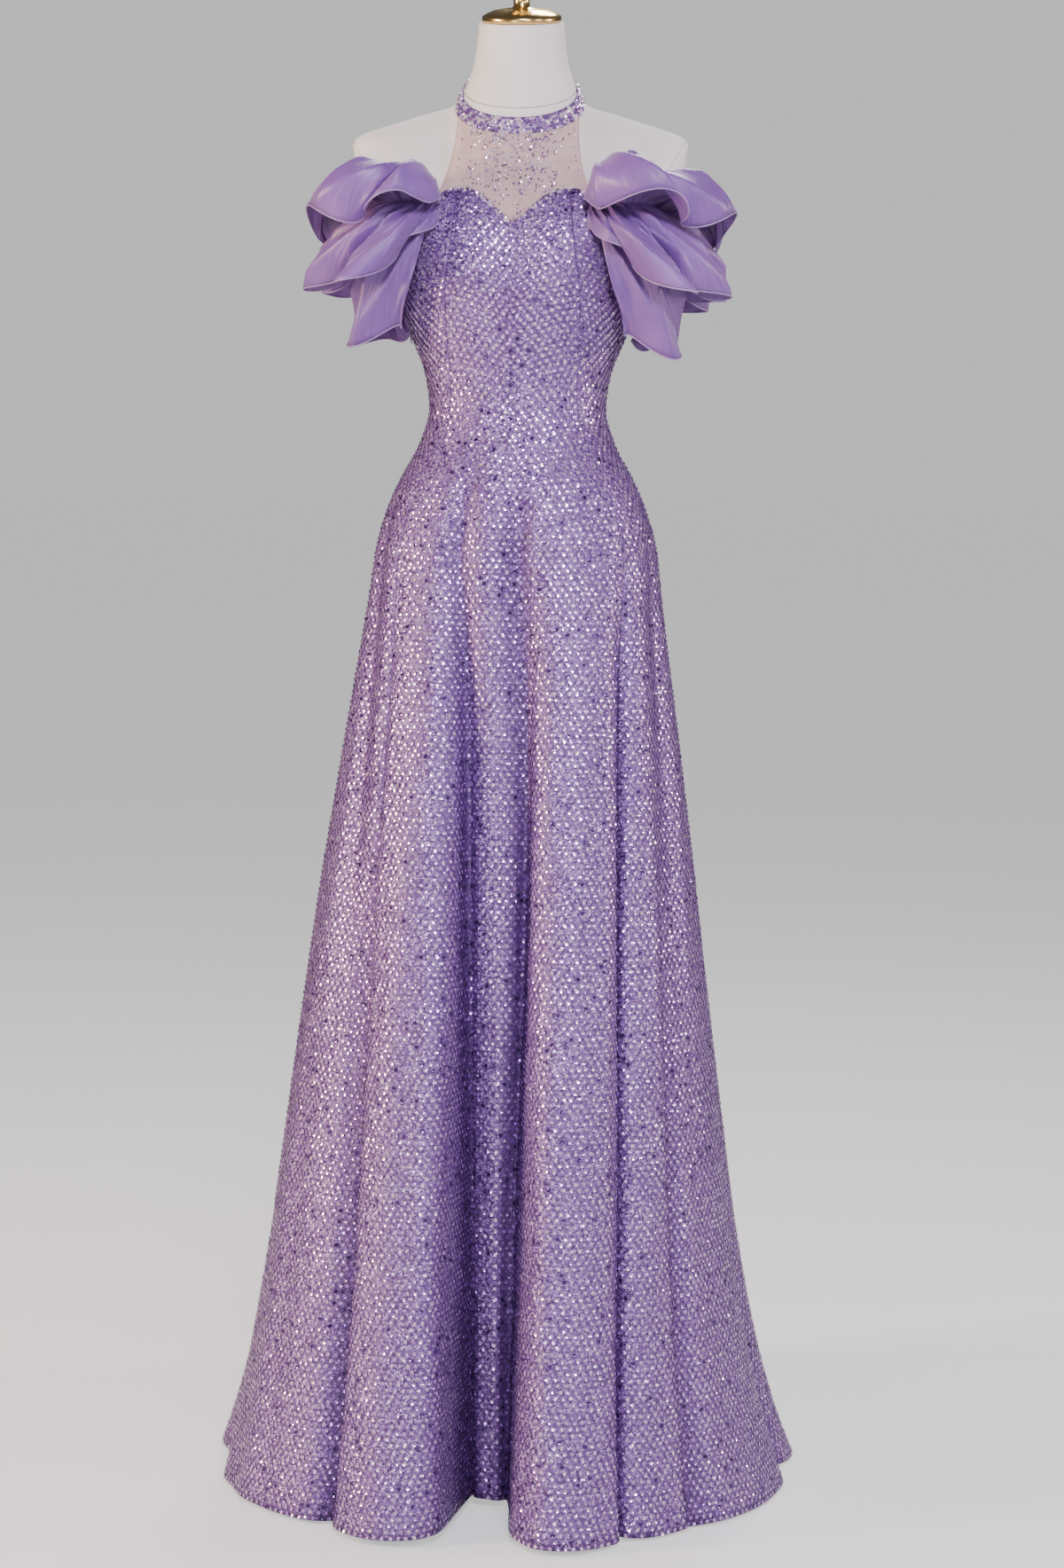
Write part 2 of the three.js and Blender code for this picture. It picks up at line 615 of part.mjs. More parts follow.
// The pull tab swings about a line near its top edge, just clear of the slider's outer face.
function makePull(y) {
  const outline = new THREE.Shape();
  const half = PULL.width / 2;
  outline.moveTo(-half, PULL.topEdge);
  outline.lineTo(-half, -PULL.length + half);
  outline.absarc(0, -PULL.length + half, half, Math.PI, 2 * Math.PI, false);
  outline.lineTo(half, PULL.topEdge);
  outline.closePath();
  const tab = new THREE.ExtrudeGeometry(outline, {
    depth: PULL.thickness,
    bevelEnabled: false,
    curveSegments: 8,
  });
  tab.translate(0, 0, -PULL.thickness / 2).rotateX(Math.PI / 2);
  tab.translate(0, y, SLIDER.z + SLIDER.height / 2 - PULL.drop);
  addMesh("zip_pull", tab, STEEL);
}

// A closed body through rings of points, with a fan over its lowest and highest ring.
function loft(rings) {
  const count = rings[0].length;
  const points = rings.flat();
  const faces = [];
  for (let r = 0; r < rings.length - 1; r++) {
    for (let i = 0; i < count; i++) {
      const k = (i + 1) % count;
      const low = r * count;
      const high = low + count;
      faces.push(low + i, low + k, high + k, low + i, high + k, high + i);
    }
  }
  const middle = (ring) => ring.reduce((sum, p) => sum.add(p), new THREE.Vector3()).divideScalar(count);
  const bottom = points.push(middle(rings[0])) - 1;
  const top = points.push(middle(rings.at(-1))) - 1;
  const lastRing = (rings.length - 1) * count;
  for (let i = 0; i < count; i++) {
    const k = (i + 1) % count;
    faces.push(bottom, k, i, top, lastRing + i, lastRing + k);
  }
  return meshOf(points, faces);
}

function solidOf(geometry) {
  const bare = geometry.index ? geometry.toNonIndexed() : geometry.clone();
  bare.deleteAttribute("normal");
  bare.deleteAttribute("uv");
  const merged = mergeVertices(bare, 1e-3);
  return new wasm.Manifold(
    new wasm.Mesh({
      numProp: 3,
      vertProperties: merged.attributes.position.array,
      triVerts: new Uint32Array(merged.index.array),
    }),
  );
}

function geometryOf(solid) {
  const mesh = solid.getMesh();
  const geometry = new THREE.BufferGeometry();
  geometry.setAttribute("position", new THREE.BufferAttribute(mesh.vertProperties, 3));
  geometry.setIndex(new THREE.BufferAttribute(mesh.triVerts, 1));
  geometry.computeVertexNormals();
  return geometry;
}

const ringAngles = Array.from(
  { length: FORM.columns },
  (_, i) => (2 * HALF_TURN * i) / FORM.columns - HALF_TURN,
);

// The region of one shoulder cap: everything outside a plane across the shoulder.
function capRegion(side, from) {
  const { x, y, z } = CAP_BOX;
  const box = new THREE.BoxGeometry(x, y, z);
  box.translate(side * (from + x / 2), 0, FORM.capBottom + z / 2);
  return solidOf(box);
}

function makeForm() {
  const ring = ({ z, room }) => ringAngles.map((angle) => figurePoint(angle, z, CLOTH_WALL + room));
  const torso = loft(FIGURE.map(ring));
  const neck = loft(NECK.map(({ z }) => ringAngles.map((angle) => neckPoint(angle, z, 0))));
  const body = solidOf(torso).add(solidOf(neck));
  let middle = body;
  for (const [name, side] of [["right", -1], ["left", 1]]) {
    middle = middle.subtract(capRegion(side, FORM.capCut));
    const cap = body.intersect(capRegion(side, FORM.capCut + FORM.capGap));
    addMesh("form_shoulder_cap_" + name, geometryOf(cap), LINEN);
  }
  addMesh("form_torso", geometryOf(middle), LINEN);
}

function lathe(profile, sides) {
  const points = profile.map(({ r, z }) => new THREE.Vector2(r, z));
  return new THREE.LatheGeometry(points, sides).rotateX(Math.PI / 2);
}

function makeStand() {
  const top = NECK.at(-1);
  const cap = lathe(NECK_CAP_PROFILE, NECK_CAP.sides);
  cap.rotateX(Math.atan(top.tilt));
  cap.translate(0, (top.back - top.front) / 2, top.z + NECK_CAP.gap);
  addMesh("form_neck_cap", cap, GOLD);
  addMesh("form_base", lathe(BASE_PROFILE, BASE.sides), STEEL);
  const hubTop = BASE_PROFILE.at(-1).z;
  const poleLength = FORM.bottom - hubTop - 2 * SEAM_GAP;
  const pole = new THREE.CylinderGeometry(POLE.radius, POLE.radius, poleLength, POLE.sides);
  pole.rotateX(Math.PI / 2).translate(0, 0, hubTop + SEAM_GAP + poleLength / 2);
  addMesh("form_pole", pole, STEEL);
}

makePanels();
makeYoke();
makeCollar();
RUFFLES.forEach(makeSleeve);
makeZip();
makeForm();
makeStand();

export default gown;
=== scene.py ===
from math import pi, radians

import bmesh
import bpy
import numpy as np
from mathutils import Euler, Matrix


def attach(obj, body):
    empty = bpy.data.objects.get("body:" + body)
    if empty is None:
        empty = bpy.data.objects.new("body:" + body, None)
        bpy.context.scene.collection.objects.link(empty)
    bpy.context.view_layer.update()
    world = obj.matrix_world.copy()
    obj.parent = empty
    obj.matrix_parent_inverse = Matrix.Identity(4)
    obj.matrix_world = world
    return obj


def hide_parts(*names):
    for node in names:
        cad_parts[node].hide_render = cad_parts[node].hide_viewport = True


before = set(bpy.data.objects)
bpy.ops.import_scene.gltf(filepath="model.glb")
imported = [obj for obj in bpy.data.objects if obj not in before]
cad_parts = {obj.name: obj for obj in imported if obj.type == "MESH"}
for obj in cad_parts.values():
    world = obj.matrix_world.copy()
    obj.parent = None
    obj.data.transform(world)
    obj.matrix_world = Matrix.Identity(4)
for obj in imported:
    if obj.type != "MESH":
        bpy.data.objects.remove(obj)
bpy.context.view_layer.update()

# Dress form
# A moulded torso with a neck and two shoulder caps, each under a stretched off-white linen cover that
# is glued down. The caps are joined at a seam round the shoulder and the neck at a seam round its root.
# Lengths are in millimetres, as a maker cuts; a mesh is turned into metres when it is made.
MM = 0.001
HALF_TURN = 180
CLOTH_WALL = 2


def table(columns, rows):
    """The rows of a table as one array for each named column."""
    return dict(zip(columns.split(), np.array(rows, dtype=float).T))


def read(rows, key, value, column):
    """A column at values of its key: a cubic from row to row whose slope at each row is that of the
    line between its neighbours, and flat beyond the first and the last row."""
    x = rows[key]
    y = rows[column]
    value = np.clip(value, x[0], x[-1])
    i = np.clip(np.searchsorted(x, value, side="right") - 1, 0, len(x) - 2)
    before = np.maximum(np.arange(len(x)) - 1, 0)
    after = np.minimum(np.arange(len(x)) + 1, len(x) - 1)
    slope = (y[after] - y[before]) / (x[after] - x[before])
    width = x[i + 1] - x[i]
    t = (value - x[i]) / width
    rise = t * t * (3 - 2 * t)
    start = t * (1 - t) ** 2 * width * slope[i]
    end = t * t * (t - 1) * width * slope[i + 1]
    return y[i] + (y[i + 1] - y[i]) * rise + start + end


def signed_power(value, power):
    return np.sign(value) * np.abs(value) ** power


# Level sections of the figure: half width, depth in front and behind, exponent of the outline, and
# the room between the gown's wall and the form.
FIGURE = table("z half front back square room", [
    (905, 152, 104, 112, 0.88, 0.7),
    (970, 159, 111, 122, 0.88, 0.7),
    (1040, 157.5, 114, 125, 0.88, 0.7),
    (1090, 145, 110, 117, 0.88, 0.7),
    (1130, 129, 104, 106, 0.88, 0.7),
    (1170, 108, 95, 94, 0.88, 0.7),
    (1210, 98, 89, 86, 0.88, 0.7),
    (1250, 104, 93, 88, 0.88, 0.7),
    (1290, 120, 103, 96, 0.88, 0.7),
    (1325, 132, 112, 103, 0.88, 1),
    (1350, 138, 116, 106, 0.88, 3),
    (1376, 145, 115, 107, 0.88, 4.5),
    (1410, 168, 107, 106, 0.8, 5),
    (1440, 181, 94, 102, 0.7, 4),
    (1465, 185, 76, 94, 0.64, 1),
    (1488, 187, 57, 82, 0.6, 0),
    (1504, 187, 44, 70, 0.6, 0),
    (1513, 172, 37, 62, 0.66, 0),
    (1524, 138, 27, 52, 0.72, 0),
    (1534, 106, 18, 42, 0.8, 0),
    (1542, 76, 12, 32, 0.88, 0),
    (1556, 50, 7, 20, 0.9, 0),
])
NECK = table("z half front back tilt", [
    (1480, 84, 72, 66, 0),
    (1505, 79, 68, 66, 0),
    (1525, 74, 62, 66, 0),
    (1548, 67, 57, 65, 0),
    (1565, 60, 54, 63, 0),
    (1585, 53.5, 50, 60, 0.04),
    (1605, 50, 47, 56, 0.1),
    (1634, 47, 44.5, 49, 0.2),
])
BUST = {"x": 62, "z": 1374, "rise": 9, "half_width": 46, "half_height": 44}


def figure_point(angle, z, inset=0.0):
    """A point of the figure: x is half times sin to the section's exponent, y the depth times cos to
    the same exponent, and the front has a gaussian rise on each side for the bust."""
    square = read(FIGURE, "z", z, "square")
    across = signed_power(np.sin(np.radians(angle)), square)
    ahead = signed_power(np.cos(np.radians(angle)), square)
    front = read(FIGURE, "z", z, "front") - inset
    back = read(FIGURE, "z", z, "back") - inset
    x = (read(FIGURE, "z", z, "half") - inset) * across
    y = -np.where(ahead > 0, front, back) * ahead
    from_bust = (np.abs(x) - BUST["x"]) / BUST["half_width"]
    above_bust = (z - BUST["z"]) / BUST["half_height"]
    rise = BUST["rise"] * np.exp(-from_bust ** 2 - above_bust ** 2)
    return np.stack([x, y - rise * (y < 0), z + 0 * x], -1)


def grid_faces(lines, rows, closed=False):
    """Quads of a grid whose lines go anticlockwise seen from above and whose rows go up."""
    i = np.arange(lines if closed else lines - 1)[:, None]
    j = np.arange(rows - 1)[None, :]
    after = (i + 1) % lines
    quads = [i * rows + j, after * rows + j, after * rows + j + 1, i * rows + j + 1]
    return np.stack(quads, -1).reshape(-1, 4)


def tube_body(rings):
    """Points and faces of a closed body through rings, an array of rings x points x 3, with a fan of
    triangles to the middle of its first and last ring."""
    count, sides = rings.shape[:2]
    side_faces = grid_faces(sides, count, closed=True)
    points = np.concatenate([
        rings.transpose(1, 0, 2).reshape(-1, 3),
        rings[0].mean(0)[None],
        rings[-1].mean(0)[None],
    ])
    here = np.arange(sides)
    beside = (here + 1) % sides
    low = np.stack([np.full(sides, sides * count), beside * count, here * count], -1)
    top_row = count - 1
    high = np.stack([np.full(sides, sides * count + 1), here * count + top_row, beside * count + top_row], -1)
    return points, [side_faces, low, high]


def make_piece(name, points, faces, material, slot, nodes=(), smooth=True, uv=None, marks=None):
    """A mesh object from points in millimetres and arrays of faces. It rides on the fixed body, and
    stands for the nodes of the frame that it replaces. marks are named numbers for each point."""
    mesh = bpy.data.meshes.new(name)
    points = points.reshape(-1, 3) * MM
    sizes = np.concatenate([np.full(len(group), group.shape[1]) for group in faces])
    corners = np.concatenate([group.ravel() for group in faces]).astype(np.int32)
    mesh.vertices.add(len(points))
    mesh.vertices.foreach_set("co", points.ravel())
    mesh.loops.add(len(corners))
    mesh.loops.foreach_set("vertex_index", corners)
    mesh.polygons.add(len(sizes))
    mesh.polygons.foreach_set("loop_start", np.concatenate([[0], np.cumsum(sizes)[:-1]]).astype(np.int32))
    mesh.update(calc_edges=True)
    mesh.polygons.foreach_set("use_smooth", np.full(len(sizes), smooth))
    if uv is not None:
        layer = mesh.uv_layers.new(name="UVMap")
        layer.data.foreach_set("uv", uv.reshape(-1, 2)[corners].astype(np.float32).ravel())
    for mark, values in (marks or {}).items():
        mesh.attributes.new(mark, "FLOAT", "POINT").data.foreach_set("value", values.astype(np.float32))
    mesh.materials.append(material)
    piece = bpy.data.objects.new(name, mesh)
    bpy.context.scene.collection.objects.link(piece)
    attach(piece, "root")
    if nodes:
        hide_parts(*nodes)
    return piece


def add_node(tree, kind, inputs=None, **settings):
    """A shader node: settings go on the node itself, inputs are values or sockets for its inputs."""
    made = tree.nodes.new(kind)
    for name, value in settings.items():
        setattr(made, name, value)
    for name, value in (inputs or {}).items():
        if isinstance(value, bpy.types.NodeSocket):
            tree.links.new(value, made.inputs[name])
        else:
            made.inputs[name].default_value = value
    return made


def new_material(name, constants):
    """A material whose constants are set on the shader's own sockets; returns it and its shader."""
    material = bpy.data.materials.new(name)
    material.use_nodes = True
    shader = material.node_tree.nodes["Principled BSDF"]
    for socket, value in constants.items():
        shader.inputs[socket].default_value = value
    return material, shader


def ramp(tree, value, stops):
    """A colour ramp over a value; stops are pairs of a place and a colour."""
    made = add_node(tree, "ShaderNodeValToRGB", {"Fac": value})
    while len(made.color_ramp.elements) < len(stops):
        made.color_ramp.elements.new(0.5)
    for element, (place, colour) in zip(made.color_ramp.elements, stops):
        element.position = place
        element.color = (*colour, 1)
    return made.outputs["Color"]


def new_group(name, inputs, outputs):
    """An empty shader node group with named inputs and outputs, and its two end nodes."""
    tree = bpy.data.node_groups.new(name, "ShaderNodeTree")
    for label, kind in inputs:
        tree.interface.new_socket(label, in_out="INPUT", socket_type=kind)
    for label, kind in outputs:
        tree.interface.new_socket(label, in_out="OUTPUT", socket_type=kind)
    return tree, tree.nodes.new("NodeGroupInput"), tree.nodes.new("NodeGroupOutput")


def make_weave_group():
    """Plain weave: the greater of two bands that cross at right angles, broken up by noise. Height
    drives a bump and Shade a small change of colour."""
    tree, given, made = new_group(
        "weave",
        [("Vector", "NodeSocketVector"), ("Scale", "NodeSocketFloat")],
        [("Height", "NodeSocketFloat"), ("Shade", "NodeSocketFloat")],
    )
    noise = add_node(tree, "ShaderNodeTexNoise", {"Vector": given.outputs["Vector"], "Scale": 900.0, "Detail": 2.0})
    bands = []
    for direction in ("X", "Y"):
        bands.append(add_node(
            tree,
            "ShaderNodeTexWave",
            {"Vector": given.outputs["Vector"], "Scale": given.outputs["Scale"], "Distortion": 0.4},
            bands_direction=direction,
        ))
    crossed = add_node(
        tree,
        "ShaderNodeMath",
        {0: bands[0].outputs["Fac"], 1: bands[1].outputs["Fac"]},
        operation="MAXIMUM",
    )
    uneven = add_node(
        tree,
        "ShaderNodeMath",
        {0: crossed.outputs[0], 1: noise.outputs["Fac"]},
        operation="MULTIPLY",
    )
    tree.links.new(uneven.outputs[0], made.inputs["Height"])
    tree.links.new(noise.outputs["Fac"], made.inputs["Shade"])
    return tree


WEAVE = make_weave_group()


def make_linen(name, depth=1.0):
    """Off-white linen: fine weave bump, and broad faint yellowing. depth below 1 is a darker thread."""
    material, shader = new_material(name, {"Roughness": 0.78, "Sheen Weight": 0.25, "Specular IOR Level": 0.3})
    tree = material.node_tree
    place = add_node(tree, "ShaderNodeTexCoord").outputs["Object"]
    chart = add_node(tree, "ShaderNodeUVMap").outputs["UV"]
    weave = add_node(tree, "ShaderNodeGroup", node_tree=WEAVE)
    tree.links.new(chart, weave.inputs["Vector"])
    weave.inputs["Scale"].default_value = 240.0
    mottle = add_node(tree, "ShaderNodeTexNoise", {"Vector": place, "Scale": 9.0, "Detail": 5.0})
    toned = add_node(
        tree,
        "ShaderNodeMix",
        {"Factor": 0.25, "A": mottle.outputs["Fac"], "B": weave.outputs["Shade"]},
        data_type="FLOAT",
    )
    colour = ramp(tree, toned.outputs["Result"], [
        (0.3, (0.76 * depth, 0.71 * depth, 0.67 * depth)),
        (0.5, (0.86 * depth, 0.82 * depth, 0.81 * depth)),
        (0.75, (0.90 * depth, 0.87 * depth, 0.88 * depth)),
    ])
    tree.links.new(colour, shader.inputs["Base Color"])
    bump = add_node(
        tree,
        "ShaderNodeBump",
        {"Strength": 0.35, "Distance": 0.0003, "Height": weave.outputs["Height"]},
    )
    tree.links.new(bump.outputs["Normal"], shader.inputs["Normal"])
    return material


LINEN = make_linen("form_linen")
FORM_COLUMNS = 200
FORM_ROWS = 230
FORM_BOTTOM = 905
FORM_TOP = 1634
NECK_BLEND = 7
CAP_CUT = 155


def neck_reach(direction, z):
    """Distance from the axis to the neck's ellipse in a level direction."""
    front = read(NECK, "z", z, "front")
    back = read(NECK, "z", z, "back")
    depth = np.where(direction[..., 1] < 0, front, back)
    return 1 / np.hypot(direction[..., 0] / read(NECK, "z", z, "half"), direction[..., 1] / depth)


def form_rings():
    """Rings of the form. In each level direction the reach is a smooth maximum of the torso's and the
    neck's, so the shoulder runs into the neck in a hollow curve."""
    z = np.concatenate([
        np.linspace(FORM_BOTTOM, 1480, 110, endpoint=False),
        np.linspace(1480, 1570, 80, endpoint=False),
        np.linspace(1570, FORM_TOP, 30),
    ])[:, None]
    angle = np.linspace(-HALF_TURN, HALF_TURN, FORM_COLUMNS, endpoint=False)[None, :]
    torso = figure_point(angle, z + 0 * angle, CLOTH_WALL + read(FIGURE, "z", z, "room"))
    reach = np.hypot(torso[..., 0], torso[..., 1])
    direction = torso[..., :2] / reach[..., None]
    above = np.clip((z - FIGURE["z"][-1]) / 30, 0, 1)
    reach = reach * (1 - 0.9 * above)
    neck = np.where(z > NECK["z"][0], neck_reach(direction, z), 0)
    both = NECK_BLEND * np.logaddexp(reach / NECK_BLEND, neck / NECK_BLEND)
    both = np.where(z > NECK["z"][0], both, reach)
    fade = np.clip((z - NECK["z"][0]) / 12, 0, 1)
    reach = reach + (both - reach) * fade
    y = direction[..., 1] * reach
    tilted = z + read(NECK, "z", z, "tilt") * y
    return np.stack([direction[..., 0] * reach, y, tilted], -1)


def make_form():
    """The whole form, cut by a plane at each shoulder into a torso and two caps."""
    rings = form_rings()
    points, faces = tube_body(rings)
    around = np.linspace(0, 2 * pi * 120, FORM_COLUMNS, endpoint=False)[:, None]
    chart = np.stack([around + 0 * rings[..., 2].T, rings[..., 2].T], -1).reshape(-1, 2) * MM
    chart = np.concatenate([chart, [[0, FORM_BOTTOM * MM], [0, FORM_TOP * MM]]])
    cuts = [
        ("form_torso_cover", ["form_torso"], [(CAP_CUT, 1), (CAP_CUT, -1)], True),
        ("form_cap_cover_left", ["form_shoulder_cap_left"], [(CAP_CUT, 1)], False),
        ("form_cap_cover_right", ["form_shoulder_cap_right"], [(CAP_CUT, -1)], False),
    ]
    for name, nodes, planes, middle in cuts:
        piece = make_piece(name, points, faces, LINEN, "form_linen", nodes, uv=chart)
        work = bmesh.new()
        work.from_mesh(piece.data)
        for reach, side in planes:
            cut = bmesh.ops.bisect_plane(
                work,
                geom=work.verts[:] + work.edges[:] + work.faces[:],
                plane_co=(side * reach * MM, 0, 0),
                plane_no=(side, 0, 0),
                clear_outer=middle,
                clear_inner=not middle,
            )
            rim = [item for item in cut["geom_cut"] if isinstance(item, bmesh.types.BMEdge)]
            bmesh.ops.edgeloop_fill(work, edges=rim)
            for edge in rim:
                edge.smooth = False
        if not middle:
            low = [vert for vert in work.verts if vert.co.z < 1.385]
            bmesh.ops.delete(work, geom=low, context="VERTS")
        work.to_mesh(piece.data)
        work.free()


make_form()


def neck_point(angle, z, out):
    """A point of the neck's own surface, moved out from it, with the section's tilt."""
    front = read(NECK, "z", z, "front") + out
    back = read(NECK, "z", z, "back") + out
    ahead = np.cos(np.radians(angle))
    x = (read(NECK, "z", z, "half") + out) * np.sin(np.radians(angle))
    y = -np.where(ahead > 0, front, back) * ahead
    return np.stack([x, y, z + read(NECK, "z", z, "tilt") * y], -1)


def cord_points(path, radius, sides=8, closed=False):
    """Points and faces of a round cord along a path: at each point a circle across the way."""
    ahead = np.gradient(path, axis=0)
    if closed:
        ahead = np.roll(path, -1, axis=0) - np.roll(path, 1, axis=0)
    ahead /= np.linalg.norm(ahead, axis=1, keepdims=True)
    guide = np.where(np.abs(ahead[:, 2:]) > 0.9, [[1.0, 0, 0]], [[0, 0, 1.0]])
    side = np.cross(guide, ahead)
    side /= np.linalg.norm(side, axis=1, keepdims=True)
    up = np.cross(ahead, side)
    turn = np.linspace(0, 2 * pi, sides, endpoint=False)[None, :, None]
    rings = path[:, None] + radius * (side[:, None] * np.cos(turn) + up[:, None] * np.sin(turn))
    if closed:
        faces = grid_faces(len(path), sides + 1, closed=True)[:, ::-1]
        return rings.reshape(-1, 3), [faces // (sides + 1) * sides + faces % (sides + 1) % sides]
    return tube_body(rings)


# Stand
# A turned cast base under white enamel, a steel pole, and a domed gold cap with a knob that closes the
# top of the neck.
CAP_TURNS = 64
NECK_CAP_PROFILE = [
    (0, 0), (43, 0), (44, 0.8), (44, 5.4), (43.4, 6.4), (38, 9.4), (31, 12.3), (20, 14.2),
    (11, 15.2), (9, 17), (9, 27), (11, 30), (15, 34), (16, 38), (16, 45), (14.5, 49), (9.6, 53), (0, 56),
]
BASE_PROFILE = [
    (0, 0), (149, 0), (150, 1), (150, 6), (148.5, 7.2), (110, 10.4), (60, 13.8), (42, 15.2), (35, 18),
    (30, 25), (26, 34), (24, 47.5), (22.5, 49), (0, 49),
]
POLE_PROFILE = [(0, 49.3), (15, 49.3), (16, 50.3), (16, 903.7), (15, 904.7), (0, 904.7)]


def turned(profile):
    """A profile of radius and height turned about the axis, as rings from the lowest point up."""
    radius, height = np.array(profile, dtype=float)[1:-1].T
    turn = np.linspace(0, 2 * pi, CAP_TURNS, endpoint=False)[None, :]
    level = height[:, None] + 0 * turn
    return np.stack([radius[:, None] * np.cos(turn), radius[:, None] * np.sin(turn), level], -1)


def make_metal(name, colour, metallic, roughness, wear):
    """Smooth metal or enamel with faint uneven roughness."""
    material, shader = new_material(name, {"Base Color": (*colour, 1), "Metallic": metallic})
    tree = material.node_tree
    place = add_node(tree, "ShaderNodeTexCoord").outputs["Object"]
    noise = add_node(tree, "ShaderNodeTexNoise", {"Vector": place, "Scale": 60.0, "Detail": 4.0})
    spread = add_node(
        tree,
        "ShaderNodeMapRange",
        {"Value": noise.outputs["Fac"], "To Min": roughness - wear, "To Max": roughness + wear},
    )
    tree.links.new(spread.outputs["Result"], shader.inputs["Roughness"])
    return material


GOLD = make_metal("gold", (0.86, 0.62, 0.24), 1.0, 0.22, 0.06)
ENAMEL = make_metal("white_enamel", (0.82, 0.82, 0.81), 0.0, 0.3, 0.05)
ZIP_METAL = make_metal("lilac_zip_metal", (0.55, 0.47, 0.68), 0.9, 0.32, 0.06)

neck_top = {column: values[-1] for column, values in NECK.items()}
cap_rings = turned(NECK_CAP_PROFILE)
lean = np.arctan(neck_top["tilt"])
cap_y = cap_rings[..., 1] * np.cos(lean) - cap_rings[..., 2] * np.sin(lean)
cap_z = cap_rings[..., 1] * np.sin(lean) + cap_rings[..., 2] * np.cos(lean)
cap_rings = np.stack([
    cap_rings[..., 0],
    cap_y + (neck_top["back"] - neck_top["front"]) / 2,
    cap_z + neck_top["z"] + 1.3,
], -1)
make_piece("neck_cap", *tube_body(cap_rings), GOLD, "gold_metal", ["form_neck_cap"])
make_piece("stand_base", *tube_body(turned(BASE_PROFILE)), ENAMEL, "stand_steel", ["form_base"])
make_piece("stand_pole", *tube_body(turned(POLE_PROFILE)), ENAMEL, "stand_steel", ["form_pole"])

# Cover seams
# The neck's cover meets the torso's in a fine overcast seam that dips in front, and the cap's meets it
# in one that leans inwards as it goes down. Both are sewn with a thread a little darker than the linen.
CAP_SEAM = {"x": 167, "z": 1470, "lean": 0.5, "low": 1412, "high": 1504, "radius": 0.35}


def make_cap_seams():
    """A seam's thread: at each height its angle on the section is the one that gives the x of the
    leaning line, in front from the bottom up and then behind from the top down."""
    z = np.linspace(CAP_SEAM["low"], CAP_SEAM["high"], 60)
    x = CAP_SEAM["x"] + CAP_SEAM["lean"] * (z - CAP_SEAM["z"])
    inset = CLOTH_WALL + read(FIGURE, "z", z, "room") - CAP_SEAM["radius"] / 2
    share = np.clip(x / (read(FIGURE, "z", z, "half") - inset), 0, 1)
    angle = np.degrees(np.arcsin(share ** (1 / read(FIGURE, "z", z, "square"))))
    front = figure_point(angle, z, inset)
    back = figure_point(HALF_TURN - angle, z, inset)[::-1]
    for side, mirror in (("left", 1), ("right", -1)):
        path = np.concatenate([front, back]) * (mirror, 1, 1)
        make_piece("cap_seam_" + side, *cord_points(path, CAP_SEAM["radius"]), SEAM_THREAD, "form_linen")


SEAM_THREAD = make_linen("seam_thread", 0.62)
make_cap_seams()
NECK_SEAM = {"z": 1566, "dip": 31, "radius": 0.4, "out": 1.0}
seam_angle = np.linspace(-HALF_TURN, HALF_TURN, 120, endpoint=False)
seam_z = NECK_SEAM["z"] - NECK_SEAM["dip"] * np.cos(np.radians(seam_angle))
seam_path = neck_point(seam_angle, seam_z, NECK_SEAM["out"])
make_piece("neck_seam", *cord_points(seam_path, NECK_SEAM["radius"], closed=True), SEAM_THREAD, "form_linen")

# Gown panels
# Seven panels of lilac net over a fine glitter ground, cut from neckline to hem and joined by princess
# seams, side seams and the centre back seam. The skirt falls in folds from the hip to the floor.
HIP_HEIGHT = 1040
CHEST_HEIGHT = 1325
ARM_HEIGHT = 1350
ROUNDNESS = 0.88
FLARE_SHARE = 0.25
FLARE_POWER = 8
SEAM_GAP = 0.3
NECKLINE = table("angle z", [
    (0, 1409), (3, 1417), (8, 1431), (14, 1442), (19, 1446.5), (23, 1447), (29, 1444), (36, 1434),
    (48, 1408), (62, 1376), (76, 1352), (90, 1343), (125, 1336), (180, 1330),
])
SEAMS = table("z front back", [
    (1040, 47, 137),
    (1130, 47, 138),
    (1210, 44, 141),
    (1270, 37, 144),
    (1325, 31, 147),
    (1376, 27, 148),
    (1447, 23, 149),
])
# Each fold starts in a valley, at top on the hip and at hem on the hem, in degrees from the front.
FOLD_NAMES = [
    "right_panel", "right_column", "centre_hollow", "left_column", "left_soft", "left_panel",
    "left_flare", "left_back_outer", "left_back", "left_centre_back", "right_centre_back",
    "right_back", "right_back_outer", "right_flare",
]
FOLDS = table("top hem root reach pinch full kick lift columns", [
    (-90, -81, 290, 337, 0.3, 0.45, 0.3, 3, 8),
    (-47, -32, 290, 344, 1, 0.5, 0.1, 4, 8),
    (-15, -9.5, 174, 188, 0.2, 1, 0, 12, 5),
    (10, 5, 176, 344, 1, 0.5, 0.1, 8, 8),
    (47, 26, 284, 325, 0.6, 0.7, 0.2, 4, 5),
    (64, 42, 313, 331, 0.2, 0.45, 0.3, 3, 6),
    (90, 85, 282, 332, 0.5, 0.7, 1, 2, 5),
    (113, 113, 270, 328, 0.6, 0.7, 0.8, 2, 5),
    (137, 139, 264, 334, 0.7, 0.65, 0.6, 2, 5),
    (159, 160, 262, 337, 0.6, 0.65, 0.6, 2, 5),
    (180, 181, 256, 340, 0.7, 0.65, 0.6, 2, 5),
    (202, 203, 266, 331, 0.6, 0.65, 0.6, 2, 5),
    (223, 223, 262, 328, 0.6, 0.7, 0.8, 2, 5),
    (246, 249, 272, 336, 0.5, 0.7, 1, 2, 5),
])
FINE = 4
SKIRT_ROWS = 90
BODICE_ROWS = 50


